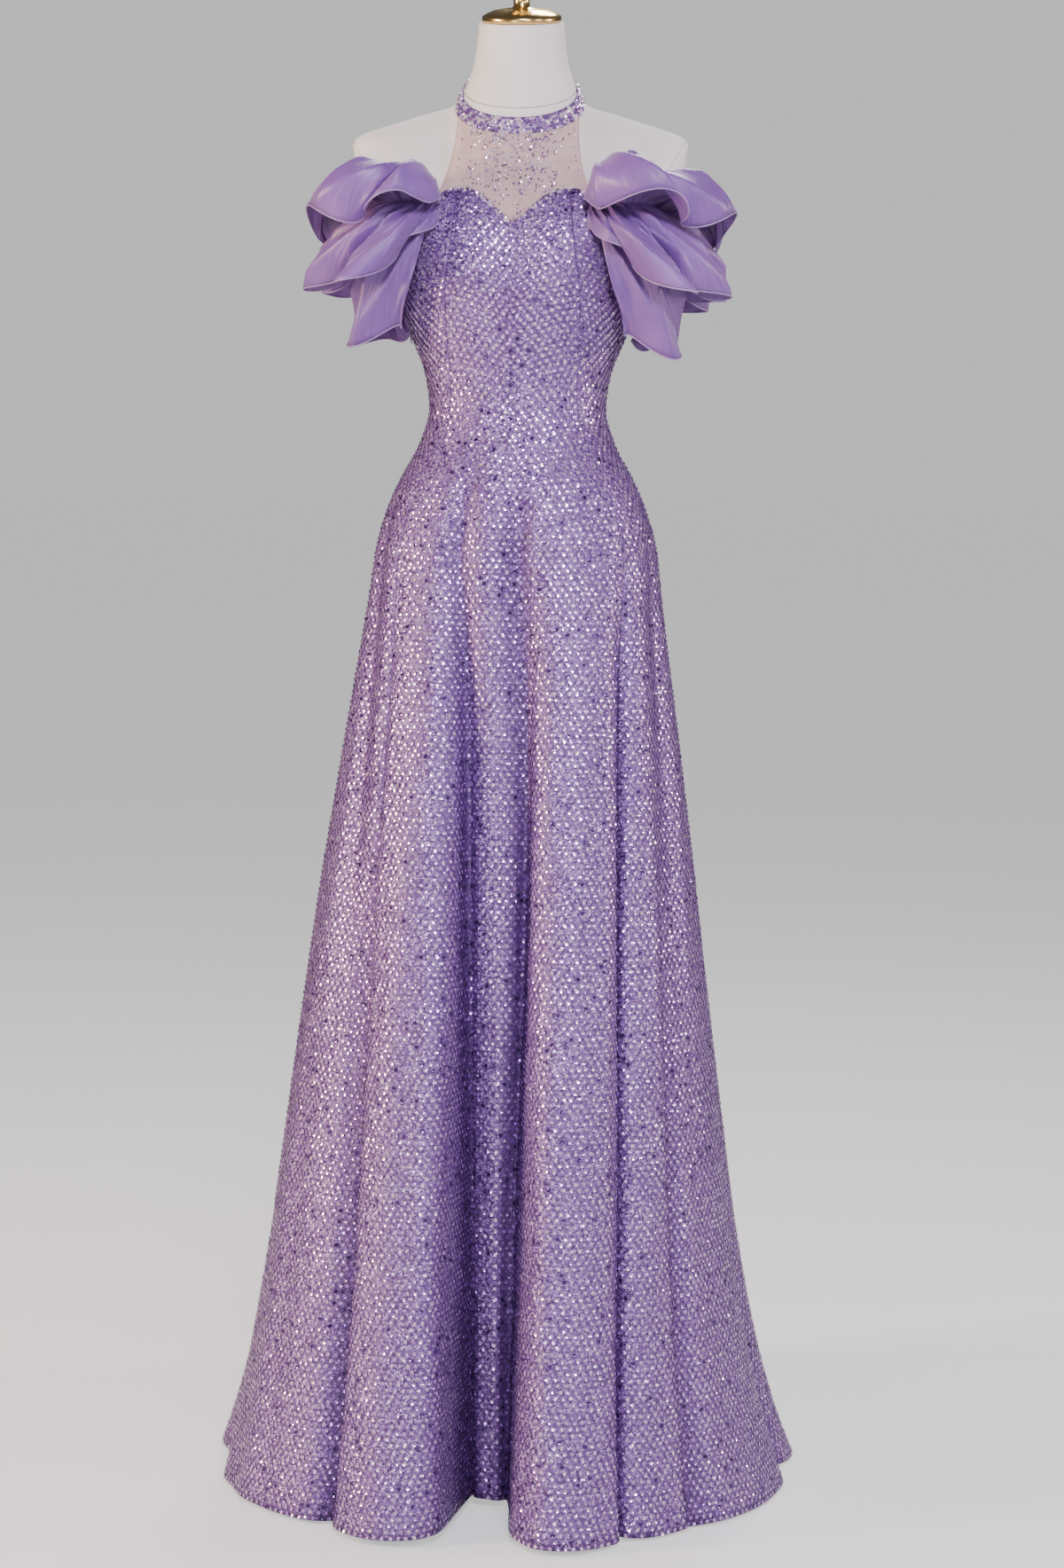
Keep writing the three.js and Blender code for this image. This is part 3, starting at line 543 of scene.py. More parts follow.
def cloth_lines():
    """The lines of cloth from neckline to hem. Along a fold s runs from 0 to 1: its foot is a straight
    mix of the two valleys, its crest is sin(pi s) to the fold's fullness, and pinch crowds its foot."""
    lines = []
    count = len(FOLD_NAMES)
    for i in range(count):
        here = {column: values[i] for column, values in FOLDS.items()}
        after = {column: values[(i + 1) % count] for column, values in FOLDS.items()}
        turn = 360 if i + 1 == count else 0
        steps = int(here["columns"]) * FINE
        s = np.arange(steps) / steps
        swing = s - here["pinch"] * np.sin(2 * pi * s) / (2 * pi)
        foot = here["root"] + (after["root"] - here["root"]) * s
        crest = np.sin(pi * s) ** here["full"]
        hem = here["hem"] + (after["hem"] + turn - here["hem"]) * swing
        lines.append(np.stack([
            here["top"] + (after["top"] + turn - here["top"]) * s,
            (foot + (here["reach"] - foot) * crest) * np.sin(np.radians(hem)),
            -(foot + (here["reach"] - foot) * crest) * np.cos(np.radians(hem)),
            here["kick"] + (after["kick"] - here["kick"]) * s,
            here["lift"] + (after["lift"] - here["lift"]) * s,
        ]))
    top, x, y, kick, lift = np.concatenate(lines, axis=1)
    for _ in range(3):
        x = (np.roll(x, 1) + 2 * x + np.roll(x, -1)) / 4
        y = (np.roll(y, 1) + 2 * y + np.roll(y, -1)) / 4
    return {"top": top, "x": x, "y": y, "kick": kick, "lift": lift}


def signed_angle(angle):
    return np.where(angle > HALF_TURN, angle - 2 * HALF_TURN, angle)


def line_angle(hip_angle, z):
    """The angle at a height of the line of cloth that has an angle on the hip: straight from seam to
    seam, so that each seam keeps its own line of cloth."""
    size = np.abs(hip_angle)
    front = read(SEAMS, "z", z, "front")
    back = read(SEAMS, "z", z, "back")
    hip_front = SEAMS["front"][0]
    hip_back = SEAMS["back"][0]
    turned_to = np.where(size < hip_front, size / hip_front * front, 0)
    side = front + (size - hip_front) / (90 - hip_front) * (90 - front)
    turned_to = np.where((size >= hip_front) & (size < 90), side, turned_to)
    side = 90 + (size - 90) / (hip_back - 90) * (back - 90)
    turned_to = np.where((size >= 90) & (size < hip_back), side, turned_to)
    side = back + (size - hip_back) / (HALF_TURN - hip_back) * (HALF_TURN - back)
    turned_to = np.where(size >= hip_back, side, turned_to)
    return np.sign(hip_angle) * turned_to


def bodice_point(angle, z):
    """A point of the bodice. Above the arm the cloth goes straight up in place of widening with the
    shoulder, so its angle on the section narrows."""
    square = read(FIGURE, "z", z, "square")
    x = read(FIGURE, "z", ARM_HEIGHT, "half") * np.abs(np.sin(np.radians(angle))) ** ROUNDNESS
    share = np.clip(x / read(FIGURE, "z", z, "half"), 0, 1) ** (1 / square)
    narrowed = np.degrees(np.arcsin(share))
    narrowed = np.where(np.abs(angle) > 90, HALF_TURN - narrowed, narrowed) * np.sign(angle)
    return figure_point(np.where(z > ARM_HEIGHT, narrowed, angle), z)


def cloth_grid():
    """The gown's outside as lines x rows x 3, from the hem up."""
    lines = cloth_lines()
    hip_angle = signed_angle(lines["top"])[:, None]
    hip = figure_point(hip_angle, HIP_HEIGHT + 0 * hip_angle)
    share = np.linspace(1, 0, SKIRT_ROWS, endpoint=False)[None, :]
    flared = (1 - FLARE_SHARE) * share + FLARE_SHARE * share ** FLARE_POWER
    out = share + (flared - share) * lines["kick"][:, None]
    x = hip[..., 0] + (lines["x"][:, None] - hip[..., 0]) * out
    y = hip[..., 1] + (lines["y"][:, None] - hip[..., 1]) * out
    z = HIP_HEIGHT + (lines["lift"][:, None] - HIP_HEIGHT) * share
    skirt = np.stack([x, y, z], -1)
    peak = NECKLINE["z"].max()
    top = read(NECKLINE, "angle", np.abs(line_angle(hip_angle, peak)), "z")
    z = HIP_HEIGHT + (top - HIP_HEIGHT) * np.linspace(0, 1, BODICE_ROWS)[None, :]
    bodice = bodice_point(line_angle(hip_angle + 0 * z, z), z)
    return np.concatenate([skirt, bodice], axis=1), lines


def grid_normals(grid, closed):
    """Unit normals of a grid: the cross product of the way across and the way up at each point."""
    if closed:
        across = np.roll(grid, -1, axis=0) - np.roll(grid, 1, axis=0)
    else:
        across = np.gradient(grid, axis=0)
    normals = np.cross(across, np.gradient(grid, axis=1))
    return normals / np.linalg.norm(normals, axis=-1, keepdims=True)


# Flutes that open at the hip, by the valley between two of them: its angle on the hip, how far it
# drifts round on its way down and half its width, in degrees, and the height at which it opens.
FLUTES = table("angle drift half_width opens", [
    (-64, 9, 5.5, 1150), (-17, 2, 5.5, 1185), (2, 8, 5.5, 1160), (46, 1, 5.5, 1040), (70, -2, 6, 1090),
    (93, 0, 8, 1060), (116, -3, 7, 1110), (137, 2, 7, 1130), (159, 1, 7, 1080), (180, 1, 6, 1030),
    (-159, 2, 7, 1120), (-137, 0, 7, 1070), (-113, 0, 8, 1120), (-88, -2, 7, 1070),
])
FLUTE_RISE = {"rise": 10, "top": 1205, "full": 1060, "opening": 110, "drift_run": 450, "foot": 300}


def flutes(grid, lines):
    """How far the cloth stands out between the valleys: a level rise that grows from the top of the
    flutes and fades to their foot and over the hips' sides, less a gaussian dip at each valley."""
    z = grid[..., 2]
    rising = np.clip((FLUTE_RISE["top"] - z) / (FLUTE_RISE["top"] - FLUTE_RISE["full"]), 0, 1)
    closing = np.clip((z - FLUTE_RISE["foot"]) / (FLUTE_RISE["full"] - FLUTE_RISE["foot"]), 0, 1)
    drifted = np.clip((HIP_HEIGHT - z) / FLUTE_RISE["drift_run"], 0, 1)
    dips = 0
    for angle, drift, half_width, opens in zip(*(FLUTES[key] for key in ("angle", "drift", "half_width", "opens"))):
        apart = lines["top"][:, None] - angle - drift * drifted
        apart = (apart + HALF_TURN) % (2 * HALF_TURN) - HALF_TURN
        open_share = np.clip((opens - z) / FLUTE_RISE["opening"], 0, 1)
        dips = dips + open_share * np.exp(-(apart / half_width) ** 2)
    sides = np.abs(np.sin(np.radians(lines["top"])))[:, None] ** 6 * np.clip((z - 700) / 300, 0, 1)
    shape = rising ** 2 * (3 - 2 * rising) * closing ** 0.6 * (1 - 0.8 * sides)
    return FLUTE_RISE["rise"] * shape * np.clip(1 - dips, 0, 1)


def ripples(grid, lines):
    """Soft creases that the hand leaves in such cloth: long shallow waves along the skirt that fade
    out at the hip, and a few across the waist, all outwards."""
    around = np.radians(lines["top"])[:, None]
    z = grid[..., 2]
    low = np.clip((HIP_HEIGHT - z) / HIP_HEIGHT, 0, 1) ** 0.8
    long_waves = np.sin(31 * around + 2.1 * np.sin(z / 210)) + 0.6 * np.sin(47 * around + 1.3 + z / 260)
    waist = np.exp(-((z - 1205) / 45) ** 2)
    drag = np.sin(z / 9 + 3 * np.cos(2 * around)) * np.abs(np.sin(around)) ** 2
    return 1.5 * low * (long_waves + 1.6) + 0.5 * waist * (drag + 1)


gown_grid, gown_lines = cloth_grid()
raised = ripples(gown_grid, gown_lines) + flutes(gown_grid, gown_lines)
gown_grid += grid_normals(gown_grid, True) * raised[..., None]
gown_normals = grid_normals(gown_grid, True)
# Painted shade in the folds: how far round the mean is taken, the depth that counts as a full valley, and how much
# darker the glitter and the sequins are made there.
PAINTED_VALLEY_SHADE = {"share_round": 0.035, "depth": 11.0, "shade": 0.5}


def valley_depth(grid):
    """How deep a point lies in a fold, 0 to 1: its distance from the axis against the mean of the
    cloth at the same height on both sides of it."""
    radius = np.hypot(grid[..., 0], grid[..., 1])
    reach = int(len(radius) * PAINTED_VALLEY_SHADE["share_round"])
    shifts = range(-reach, reach + 1, max(1, reach // 6))
    mean = sum(np.roll(radius, shift, axis=0) for shift in shifts) / len(shifts)
    return np.clip((mean - radius) / PAINTED_VALLEY_SHADE["depth"], 0, 1)


# Painted shade mask: each point's depth in a fold, which darkens its glitter and its sequins.
gown_valleys = valley_depth(gown_grid)


def make_glitter_group():
    """Glitter: small cells, each with its own colour value and its own tilt of the surface normal."""
    tree, given, made = new_group(
        "glitter",
        [("Vector", "NodeSocketVector"), ("Scale", "NodeSocketFloat"), ("Tilt", "NodeSocketFloat")],
        [("Value", "NodeSocketFloat"), ("Normal", "NodeSocketVector")],
    )
    cells = add_node(
        tree,
        "ShaderNodeTexVoronoi",
        {"Vector": given.outputs["Vector"], "Scale": given.outputs["Scale"]},
    )
    centred = add_node(
        tree,
        "ShaderNodeVectorMath",
        {0: cells.outputs["Color"], 1: (0.5, 0.5, 0.5)},
        operation="SUBTRACT",
    )
    tilt = add_node(
        tree,
        "ShaderNodeVectorMath",
        {0: centred.outputs[0], "Scale": given.outputs["Tilt"]},
        operation="SCALE",
    )
    surface = add_node(tree, "ShaderNodeNewGeometry")
    leaning = add_node(
        tree,
        "ShaderNodeVectorMath",
        {0: surface.outputs["Normal"], 1: tilt.outputs[0]},
        operation="ADD",
    )
    unit = add_node(tree, "ShaderNodeVectorMath", {0: leaning.outputs[0]}, operation="NORMALIZE")
    parted = add_node(tree, "ShaderNodeSeparateColor", {"Color": cells.outputs["Color"]})
    tree.links.new(parted.outputs[0], made.inputs["Value"])
    tree.links.new(unit.outputs[0], made.inputs["Normal"])
    return tree


GLITTER = make_glitter_group()


def make_glitter_cloth(name, stops, metallic, roughness, scale, tilt):
    """Cloth with a ground of fine glitter: each cell of it has its own shade and its own tilt. In the valleys
    of the folds the cells' colour is darkened by their depth there, a painted shade."""
    material, shader = new_material(name, {"Metallic": metallic, "Roughness": roughness})
    tree = material.node_tree
    place = add_node(tree, "ShaderNodeTexCoord").outputs["Object"]
    glitter = add_node(tree, "ShaderNodeGroup", node_tree=GLITTER)
    tree.links.new(place, glitter.inputs["Vector"])
    glitter.inputs["Scale"].default_value = scale
    glitter.inputs["Tilt"].default_value = tilt
    # Painted shade: the depth in a fold lowers the value that picks the colour, so the glitter is darker in the
    # valleys.
    painted_valley_shade = add_node(tree, "ShaderNodeAttribute", attribute_name="painted_valley_shade")
    value = add_node(
        tree,
        "ShaderNodeMath",
        {0: painted_valley_shade.outputs["Fac"], 1: -PAINTED_VALLEY_SHADE["shade"], 2: glitter.outputs["Value"]},
        operation="MULTIPLY_ADD",
    )
    tree.links.new(ramp(tree, value.outputs[0], stops), shader.inputs["Base Color"])
    tree.links.new(glitter.outputs["Normal"], shader.inputs["Normal"])
    return material


GROUND = make_glitter_cloth("lilac_glitter_ground", [
    (0.0, (0.06, 0.025, 0.12)),
    (0.35, (0.15, 0.07, 0.26)),
    (0.8, (0.26, 0.135, 0.41)),
    (1.0, (0.60, 0.42, 0.76)),
], 0.25, 0.4, 620.0, 0.6)


def wall(outer, inner):
    """Points and faces of a wall between two grids, closed round its rim."""
    lines, rows = outer.shape[:2]
    count = lines * rows
    outside = grid_faces(lines, rows)
    numbers = np.arange(count).reshape(lines, rows)
    rim = np.concatenate([numbers[:, 0], numbers[-1, 1:], numbers[-2::-1, -1], numbers[0, -2:0:-1]])
    after = np.roll(rim, -1)
    sides = np.stack([after, rim, rim + count, after + count], -1)
    return np.concatenate([outer.reshape(-1, 3), inner.reshape(-1, 3)]), [outside, outside[:, ::-1] + count, sides]


def seamed(grid):
    """The first and last line of a piece moved in by half a seam gap."""
    moved = grid.copy()
    for line, inward in ((0, 1), (-1, -2)):
        way = grid[inward] - grid[line]
        moved[line] += way / np.linalg.norm(way, axis=1, keepdims=True) * SEAM_GAP / 2
    return moved


def between(values, start, end):
    """The lines from one seam to the next, both included, by their angle on the hip."""
    top = gown_lines["top"]
    picked = np.flatnonzero((top > start - 0.01) & (top < end - 0.01))
    return values[np.append(picked, (picked[-1] + 1) % len(top))]


# name, the CAD node it stands for, seams on the hip, and the cut of the cloth: width, length, area
PANELS = [
    ("side_front_right", -90, -47, (0.34, 1.47, 0.235)),
    ("centre_front", -47, 47, (0.72, 1.47, 0.50)),
    ("side_front_left", 47, 90, (0.38, 1.47, 0.26)),
    ("side_back_left", 90, 137, (0.36, 1.38, 0.255)),
    ("centre_back_left", 137, 180, (0.35, 1.36, 0.25)),
    ("centre_back_right", 180, 223, (0.35, 1.36, 0.25)),
    ("side_back_right", 223, 270, (0.37, 1.38, 0.26)),
]


def make_panels():
    for name, start, end, (width, length, area) in PANELS:
        outer = between(gown_grid, start, end)
        inner = outer - CLOTH_WALL * between(gown_normals, start, end)
        piece = make_piece(
            "cloth_" + name,
            *wall(seamed(outer), seamed(inner)),
            GROUND,
            "sequin_cloth",
            ["panel_" + name],
            marks={"painted_valley_shade": np.tile(between(gown_valleys, start, end).ravel(), 2)},
        )


make_panels()

# Sequins
# Round cupped paillettes, 4.6 mm across, each sewn on by a thread through its middle, in staggered rows
# that keep their pitch from panel to panel. Each one leans its own way, so that only some catch light.
SEQUIN_RADIUS = 2.3
SEQUIN_DEPTH = 0.8
SEQUIN_CUP = 0.3
SEQUIN_OFFSET = 0.95
SEQUIN_PITCH = 8.4
SEQUIN_ROW = 6.3
SEQUIN_LEAN = 0.1
SEAM_MARGIN = 2.4
corner = np.linspace(0, 2 * pi, 6, endpoint=False)
SEQUIN_FORM = np.concatenate([
    np.stack([np.cos(corner), np.sin(corner), 0 * corner], -1) * SEQUIN_RADIUS,
    [[0, 0, -SEQUIN_CUP], [0, 0, -SEQUIN_DEPTH]],
])
SEQUIN_FACES = [
    np.stack([np.arange(6), (np.arange(6) + 1) % 6, np.full(6, 6)], -1),
    np.stack([(np.arange(6) + 1) % 6, np.arange(6), np.full(6, 7)], -1),
]


def scattered(form, faces, centres, across, normals, sizes):
    """Copies of a small form, one at each centre, with its z along the normal and its x across."""
    up = np.cross(normals, across)
    axes = np.stack([across, up, normals], 1)
    points = centres[:, None] + np.einsum("pk,nkc->npc", form, axes) * sizes[:, None, None]
    starts = (np.arange(len(centres)) * len(form))[:, None, None]
    return points.reshape(-1, 3), [(group[None] + starts).reshape(-1, group.shape[1]) for group in faces]


def leaning(normals, across, spread, random):
    """Normals that each lean a random way, and the direction across made square to them."""
    up = np.cross(normals, across)
    lean_by = random.normal(0, spread, (2, len(normals), 1))
    tipped = normals + lean_by[0] * across + lean_by[1] * up
    tipped /= np.linalg.norm(tipped, axis=1, keepdims=True)
    square = across - tipped * np.sum(across * tipped, axis=1, keepdims=True)
    return tipped, square / np.linalg.norm(square, axis=1, keepdims=True)


def cloth_lattice(grid, normals, valleys, pitch, row_pitch, margin):
    """Staggered places on a piece of cloth: their points, normals, ways across and depths in a fold.
    Rows follow its middle line at equal lengths, and along a row the places are at equal lengths of
    cloth from that line, so the pitch stays as it was sewn."""
    middle = len(grid) // 2
    steps = np.linalg.norm(np.diff(grid[middle], axis=0), axis=1)
    length = np.concatenate([[0], np.cumsum(steps)])
    found = []
    for k, distance in enumerate(np.arange(margin, length[-1] - margin, row_pitch)):
        row = np.interp(distance, length, np.arange(len(length)))
        j = min(int(row), grid.shape[1] - 2)
        part = row - j
        path = grid[:, j] * (1 - part) + grid[:, j + 1] * part
        facing = normals[:, j] * (1 - part) + normals[:, j + 1] * part
        sunk = valleys[:, j] * (1 - part) + valleys[:, j + 1] * part
        run = np.concatenate([[0], np.cumsum(np.linalg.norm(np.diff(path, axis=0), axis=1))])
        run -= run[middle]
        offset = 0.5 * (k % 2)
        first = np.ceil((run[0] + margin) / pitch - offset)
        last = np.floor((run[-1] - margin) / pitch - offset)
        places = (np.arange(first, last + 1) + offset) * pitch
        picked = [np.interp(places, run, values[:, c]) for values in (path, facing) for c in range(3)]
        ahead = [np.interp(places + 1, run, path[:, c]) - np.interp(places - 1, run, path[:, c]) for c in range(3)]
        found.append(np.stack(picked + ahead + [np.interp(places, run, sunk)], -1))
    found = np.concatenate(found)
    normal = found[:, 3:6] / np.linalg.norm(found[:, 3:6], axis=1, keepdims=True)
    across = found[:, 6:9] - normal * np.sum(found[:, 6:9] * normal, axis=1, keepdims=True)
    return found[:, :3], normal, across / np.linalg.norm(across, axis=1, keepdims=True), found[:, 9]


def make_sequin_material():
    """Metallised film: each sequin has its own shade from deep violet to nearly white, lowered by
    painted shade in the valleys of the folds.
    """
    material, shader = new_material("sequin_film", {
        "Metallic": 0.7,
        "Roughness": 0.2,
        "Coat Weight": 0.5,
        "Coat Roughness": 0.12,
    })
    tree = material.node_tree
    shade = add_node(tree, "ShaderNodeAttribute", attribute_name="shade")
    colour = ramp(tree, shade.outputs["Fac"], [
        (0.0, (0.05, 0.02, 0.12)),
        (0.12, (0.25, 0.10, 0.46)),
        (0.5, (0.62, 0.34, 0.86)),
        (0.85, (0.88, 0.62, 1.0)),
        (1.0, (1.0, 0.96, 1.0)),
    ])
    tree.links.new(colour, shader.inputs["Base Color"])
    return material


SEQUIN_FILM = make_sequin_material()


def make_sequins():
    random = np.random.default_rng(11)
    for name, start, end, _ in PANELS:
        cloth = [between(values, start, end) for values in (gown_grid, gown_normals, gown_valleys)]
        centres, normals, across, sunk = cloth_lattice(*cloth, SEQUIN_PITCH, SEQUIN_ROW, SEAM_MARGIN)
        count = len(centres)
        normals, across = leaning(normals, across, SEQUIN_LEAN, random)
        centres = centres + normals * SEQUIN_OFFSET + random.normal(0, 0.2, (count, 3))
        sizes = random.uniform(0.92, 1.05, count)
        points, faces = scattered(SEQUIN_FORM, SEQUIN_FACES, centres, across, normals, sizes)
        shade = random.beta(8, 3.2, count)
        shade[random.random(count) < 0.05] = 0.03
        # Painted shade: a sequin in a valley of the folds is made darker by its depth there.
        shade = np.clip(shade - PAINTED_VALLEY_SHADE["shade"] * sunk, 0, 1)
        make_piece(
            "sequins_" + name,
            points,
            faces,
            SEQUIN_FILM,
            "sequin_cloth",
            smooth=False,
            marks={"shade": np.repeat(shade, len(SEQUIN_FORM))},
        )


make_sequins()

# Centre back zip
# A nylon tape with two rows of moulded teeth, a slider and a pull tab that hangs from it.
ZIP = {"width": 9, "wall": 1.2, "top": 1327, "bottom": 1100, "tooth_pitch": 2.2}
TOOTH_FORM = np.array([
    (x, y, z) for z in (0, 0.7) for x, y in ((-1.1, -0.55), (1.1, -0.55), (1.1, 0.55), (-1.1, 0.55))
], dtype=float)
TOOTH_FACES = [np.array([(3, 2, 1, 0), (4, 5, 6, 7), (0, 1, 5, 4), (1, 2, 6, 5), (2, 3, 7, 6), (3, 0, 4, 7)])]


def make_zip():
    seam = gown_grid[np.argmin(np.abs(gown_lines["top"] - HALF_TURN))]
    z = np.linspace(ZIP["bottom"] + 30, ZIP["top"] - 1, 90)
    y = np.interp(z, seam[:, 2], seam[:, 1]) + SEAM_GAP
    inner = np.stack([np.stack([0 * z + x, y, z], -1) for x in (ZIP["width"] / 2, -ZIP["width"] / 2)])
    outer = inner + (0, ZIP["wall"], 0)
    tape = make_piece("zip_tape_cloth", *wall(outer, inner), GROUND, "sequin_cloth", ["zip_tape"])
    run = np.arange(0, z[-1] - z[0] - 1, ZIP["tooth_pitch"] / 2)
    side = np.where(np.arange(len(run)) % 2, 0.6, -0.6)
    height = z[0] + 1 + run
    centres = np.stack([side, np.interp(height, z, y) + ZIP["wall"], height], -1)
    facing = np.tile([0.0, 1, 0], (len(run), 1))
    along = np.tile([-1.0, 0, 0], (len(run), 1))
    points, faces = scattered(TOOTH_FORM, TOOTH_FACES, centres, along, facing, np.ones(len(run)))
    make_piece("zip_teeth", points, faces, ZIP_METAL, "zip_metal", smooth=False)
    for node in ("zip_slider", "zip_pull"):
        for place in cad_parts[node].material_slots:
            place.material = ZIP_METAL


make_zip()

# Collar
# A stiffened band covered all over in small faceted beads, fastened at the nape by one covered button.
COLLAR = {"wall": 2.4, "height": 18, "z": 1556.5, "dip": 41, "nape_gap": 1.2, "columns": 160, "clear": 0.7}
BUTTON = {"radius": 5.5, "thickness": 4, "lean": 0.2}
GOLDEN = (1 + 5 ** 0.5) / 2
BEAD_FORM = np.array([
    (-1, GOLDEN, 0), (1, GOLDEN, 0), (-1, -GOLDEN, 0), (1, -GOLDEN, 0), (0, -1, GOLDEN), (0, 1, GOLDEN),
    (0, -1, -GOLDEN), (0, 1, -GOLDEN), (GOLDEN, 0, -1), (GOLDEN, 0, 1), (-GOLDEN, 0, -1), (-GOLDEN, 0, 1),
]) / np.hypot(1, GOLDEN)
BEAD_FACES = [np.array([
    (0, 11, 5), (0, 5, 1), (0, 1, 7), (0, 7, 10), (0, 10, 11), (1, 5, 9), (5, 11, 4), (11, 10, 2),
    (10, 7, 6), (7, 1, 8), (3, 9, 4), (3, 4, 2), (3, 2, 6), (3, 6, 8), (3, 8, 9), (4, 9, 5), (2, 4, 11),
    (6, 2, 10), (8, 6, 7), (9, 8, 1),
])]


def collar_height(angle):
    return COLLAR["z"] - COLLAR["dip"] * np.cos(np.radians(angle))


def make_bead_material():
    """Faceted lilac glass with a silvered lining: each bead has its own shade."""
    material, shader = new_material("silvered_beads", {"Metallic": 0.6, "Roughness": 0.14})
    tree = material.node_tree
    shade = add_node(tree, "ShaderNodeAttribute", attribute_name="shade")
    colour = ramp(tree, shade.outputs["Fac"], [
        (0.0, (0.16, 0.07, 0.26)),
        (0.4, (0.44, 0.25, 0.58)),
        (0.7, (0.72, 0.52, 0.84)),
        (1.0, (1.0, 0.95, 1.0)),
    ])
    tree.links.new(colour, shader.inputs["Base Color"])
    return material


BEAD_GLASS = make_bead_material()


def make_beads(name, centres, normals, across, random, crystals, slot="beaded_band", size=1.0):
    """Faceted beads at their places, each turned its own way. A share of them are clear crystals,
    larger and brighter than the lilac beads between them."""
    count = len(centres)
    clear = random.random(count) < crystals
    sizes = np.where(clear, random.uniform(1.5, 2.1, count), random.uniform(0.85, 1.35, count))
    shade = np.where(clear, random.uniform(0.85, 1, count), random.uniform(0, 0.6, count))
    normals, across = leaning(normals, across, 0.5, random)
    points, faces = scattered(BEAD_FORM, BEAD_FACES, centres, across, normals, sizes * size)
    marks = {"shade": np.repeat(shade, len(BEAD_FORM))}
    return make_piece(name, points, faces, BEAD_GLASS, slot, smooth=False, marks=marks)


def make_collar():
    random = np.random.default_rng(23)
    gap = np.degrees(COLLAR["nape_gap"] / 2 / read(NECK, "z", COLLAR["z"], "back"))
    angle = np.linspace(-HALF_TURN + gap, HALF_TURN - gap, COLLAR["columns"])[:, None]
    up = np.linspace(-0.5, 0.5, 9)[None, :] * COLLAR["height"]
    z = collar_height(angle) + up
    swell = 0.5 * np.cos(pi * up / COLLAR["height"])
    inner = neck_point(angle, z, COLLAR["clear"])
    outer = neck_point(angle, z, COLLAR["clear"] + COLLAR["wall"] - 0.9 + swell)
    piece = make_piece("collar_band_cloth", *wall(outer, inner), GROUND, "beaded_band", ["collar_band"])
    flat = np.zeros(outer.shape[:2])
    centres, normals, across, _ = cloth_lattice(outer, grid_normals(outer, False), flat, 3.9, 3.2, 1.0)
    centres = centres + random.normal(0, 0.3, centres.shape)
    make_beads("collar_beads", centres, normals, across, random, 0.4, size=1.25)


make_collar()


def make_button():
    random = np.random.default_rng(29)
    profile = [(0, 0), (5.4, 0), (5.5, 0.5), (5.5, 1.6), (4.8, 2.5), (3.3, 3.2), (1.6, 3.6), (0, 3.7)]
    rings = turned(profile)
    lean_angle = BUTTON["lean"]
    foot = neck_point(
        np.array(180.0), np.array(collar_height(HALF_TURN)), COLLAR["clear"] + COLLAR["wall"] + SEAM_GAP,
    )
    way_out = np.array([0, np.cos(lean_angle), np.sin(lean_angle)])
    way_up = np.array([0, -np.sin(lean_angle), np.cos(lean_angle)])
    way_side = np.cross(way_up, way_out)
    placed = (rings[..., :1] * way_side + rings[..., 1:2] * way_up + rings[..., 2:] * way_out) + foot
    make_piece("collar_button_cover", *tube_body(placed), GROUND, "beaded_band", ["collar_button"])


make_button()

# Yoke
# One layer of sheer skin-coloured net, stretched from the bodice's top edge to the collar, with a
# rolled edge at each side and beads scattered by hand, closest together down the middle.
YOKE = {"wall": 1.2, "edge": 34, "top": 62, "bow": 2.5, "waist": 0.06, "rows": 40}


def make_net():
    """Sheer net: skin colour, partly see-through, a little denser where threads cross."""
    material, shader = new_material("sheer_net", {"Roughness": 0.6, "Sheen Weight": 0.3, "Specular IOR Level": 0.2})
    tree = material.node_tree
    place = add_node(tree, "ShaderNodeTexCoord").outputs["Object"]
    weave = add_node(tree, "ShaderNodeGroup", node_tree=WEAVE)
    chart = add_node(tree, "ShaderNodeUVMap").outputs["UV"]
    tree.links.new(chart, weave.inputs["Vector"])
    weave.inputs["Scale"].default_value = 260.0
    tone = add_node(tree, "ShaderNodeTexNoise", {"Vector": place, "Scale": 30.0, "Detail": 3.0})
    colour = ramp(tree, tone.outputs["Fac"], [(0.3, (0.74, 0.50, 0.47)), (0.7, (0.84, 0.61, 0.60))])
    tree.links.new(colour, shader.inputs["Base Color"])
    cover = add_node(
        tree,
        "ShaderNodeMapRange",
        {"Value": weave.outputs["Height"], "To Min": 0.38, "To Max": 0.66},
    )
    tree.links.new(cover.outputs["Result"], shader.inputs["Alpha"])
    return material


NET = make_net()


